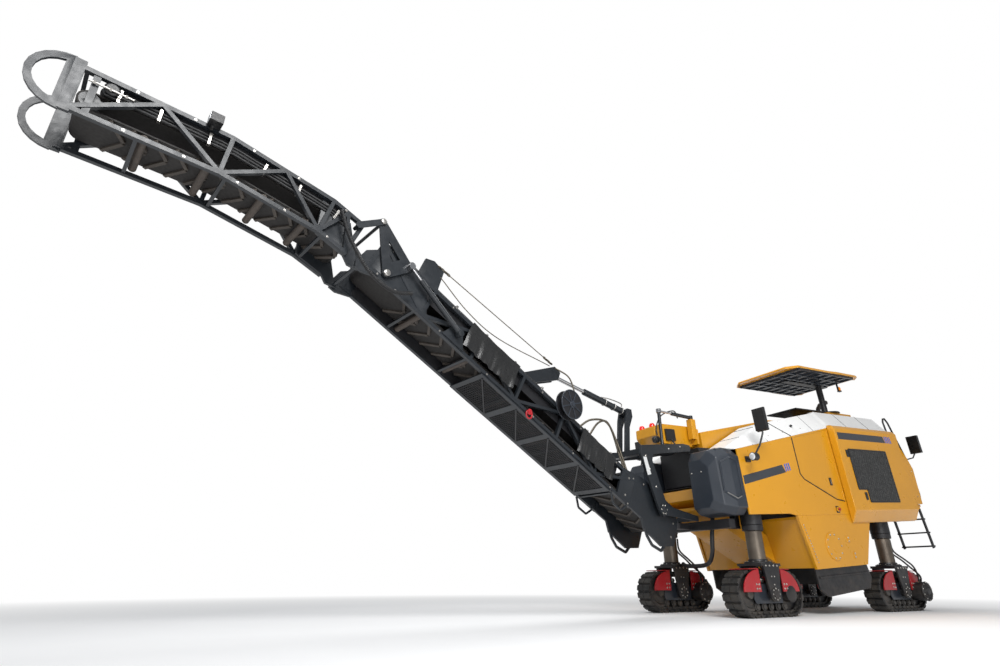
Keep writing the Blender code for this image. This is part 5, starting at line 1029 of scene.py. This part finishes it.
# ---------------------------------------------------------------- studio and camera
floor = bpy.data.meshes.new("floor")
floor.from_pydata([(-60, -60, 0), (60, -60, 0), (60, 60, 0), (-60, 60, 0)], [], [(0, 1, 2, 3)])
floor = bpy.data.objects.new("studio_floor", floor)
bpy.context.scene.collection.objects.link(floor)
ground = mat("studio_floor", (0.88, 0.88, 0.88), 0.8, vary=0.01, scale=0.3)
floor.data.materials.append(ground)
knots, wire = ground.node_tree.nodes, ground.node_tree.links.new
far = knots.new("ShaderNodeVectorMath")
far.operation = "LENGTH"
wire(knots["Texture Coordinate"].outputs["Object"], far.inputs[0])
fade = knots.new("ShaderNodeMapRange")
for key, value in (("From Min", 6.0), ("From Max", 14.0), ("To Min", 0.0), ("To Max", 1.0)):
    fade.inputs[key].default_value = value
wire(far.outputs["Value"], fade.inputs["Value"])
bright = knots.new("ShaderNodeEmission")
bright.inputs[0].default_value = (1, 1, 1, 1)
bright.inputs[1].default_value = 1.0
merge = knots.new("ShaderNodeMixShader")
wire(fade.outputs["Result"], merge.inputs[0])
wire(knots["Principled BSDF"].outputs[0], merge.inputs[1])
wire(bright.outputs[0], merge.inputs[2])
wire(merge.outputs[0], knots["Material Output"].inputs[0])

world = bpy.data.worlds.new("studio")
bpy.context.scene.world = world
world.use_nodes = True
sky, link = world.node_tree.nodes, world.node_tree.links.new
sky["Background"].inputs[0].default_value = (0.93, 0.96, 1.0, 1)
sky["Background"].inputs[1].default_value = 0.36
seen = sky.new("ShaderNodeBackground")
seen.inputs[0].default_value = (1, 1, 1, 1)
seen.inputs[1].default_value = 1.0
choose = sky.new("ShaderNodeMixShader")
link(sky.new("ShaderNodeLightPath").outputs["Is Camera Ray"], choose.inputs[0])
link(sky["Background"].outputs[0], choose.inputs[1])
link(seen.outputs[0], choose.inputs[2])
link(choose.outputs[0], sky["World Output"].inputs[0])


def area_light(name, place, target, size, power):
    light = bpy.data.lights.new(name, "AREA")
    light.shape, light.size, light.size_y, light.energy = "RECTANGLE", size[0], size[1], power
    lamp = bpy.data.objects.new(name, light)
    lamp.location = place
    lamp.rotation_euler = (Vector(target) - Vector(place)).to_track_quat("-Z", "Y").to_euler()
    bpy.context.scene.collection.objects.link(lamp)


area_light("key", (4.0, 9.0, 8.5), (-1.5, 0, 1.4), (6, 4), 1150)
area_light("overhead", (-1.0, -2.0, 11.0), (-1.0, 0, 1), (10, 6), 620)
area_light("low_fill", (1.5, 9.5, 1.2), (-0.5, 0, 1.6), (6, 1.6), 150)

right, up = Vector((-0.866, 0.5, 0.0)), Vector((0.2007, 0.3476, 0.9159))
back = right.cross(up).normalized()
camera = bpy.data.objects.new("camera", bpy.data.cameras.new("camera"))
camera.matrix_world = Matrix(((right.x, up.x, back.x, 5.2093), (right.y, up.y, back.y, 6.0454),
                              (right.z, up.z, back.z, 0.452), (0, 0, 0, 1)))
camera.data.lens, camera.data.sensor_width, camera.data.clip_end = 20.32, 36, 300
bpy.context.scene.collection.objects.link(camera)
bpy.context.scene.camera = camera
bpy.context.scene.view_settings.view_transform = "Standard"
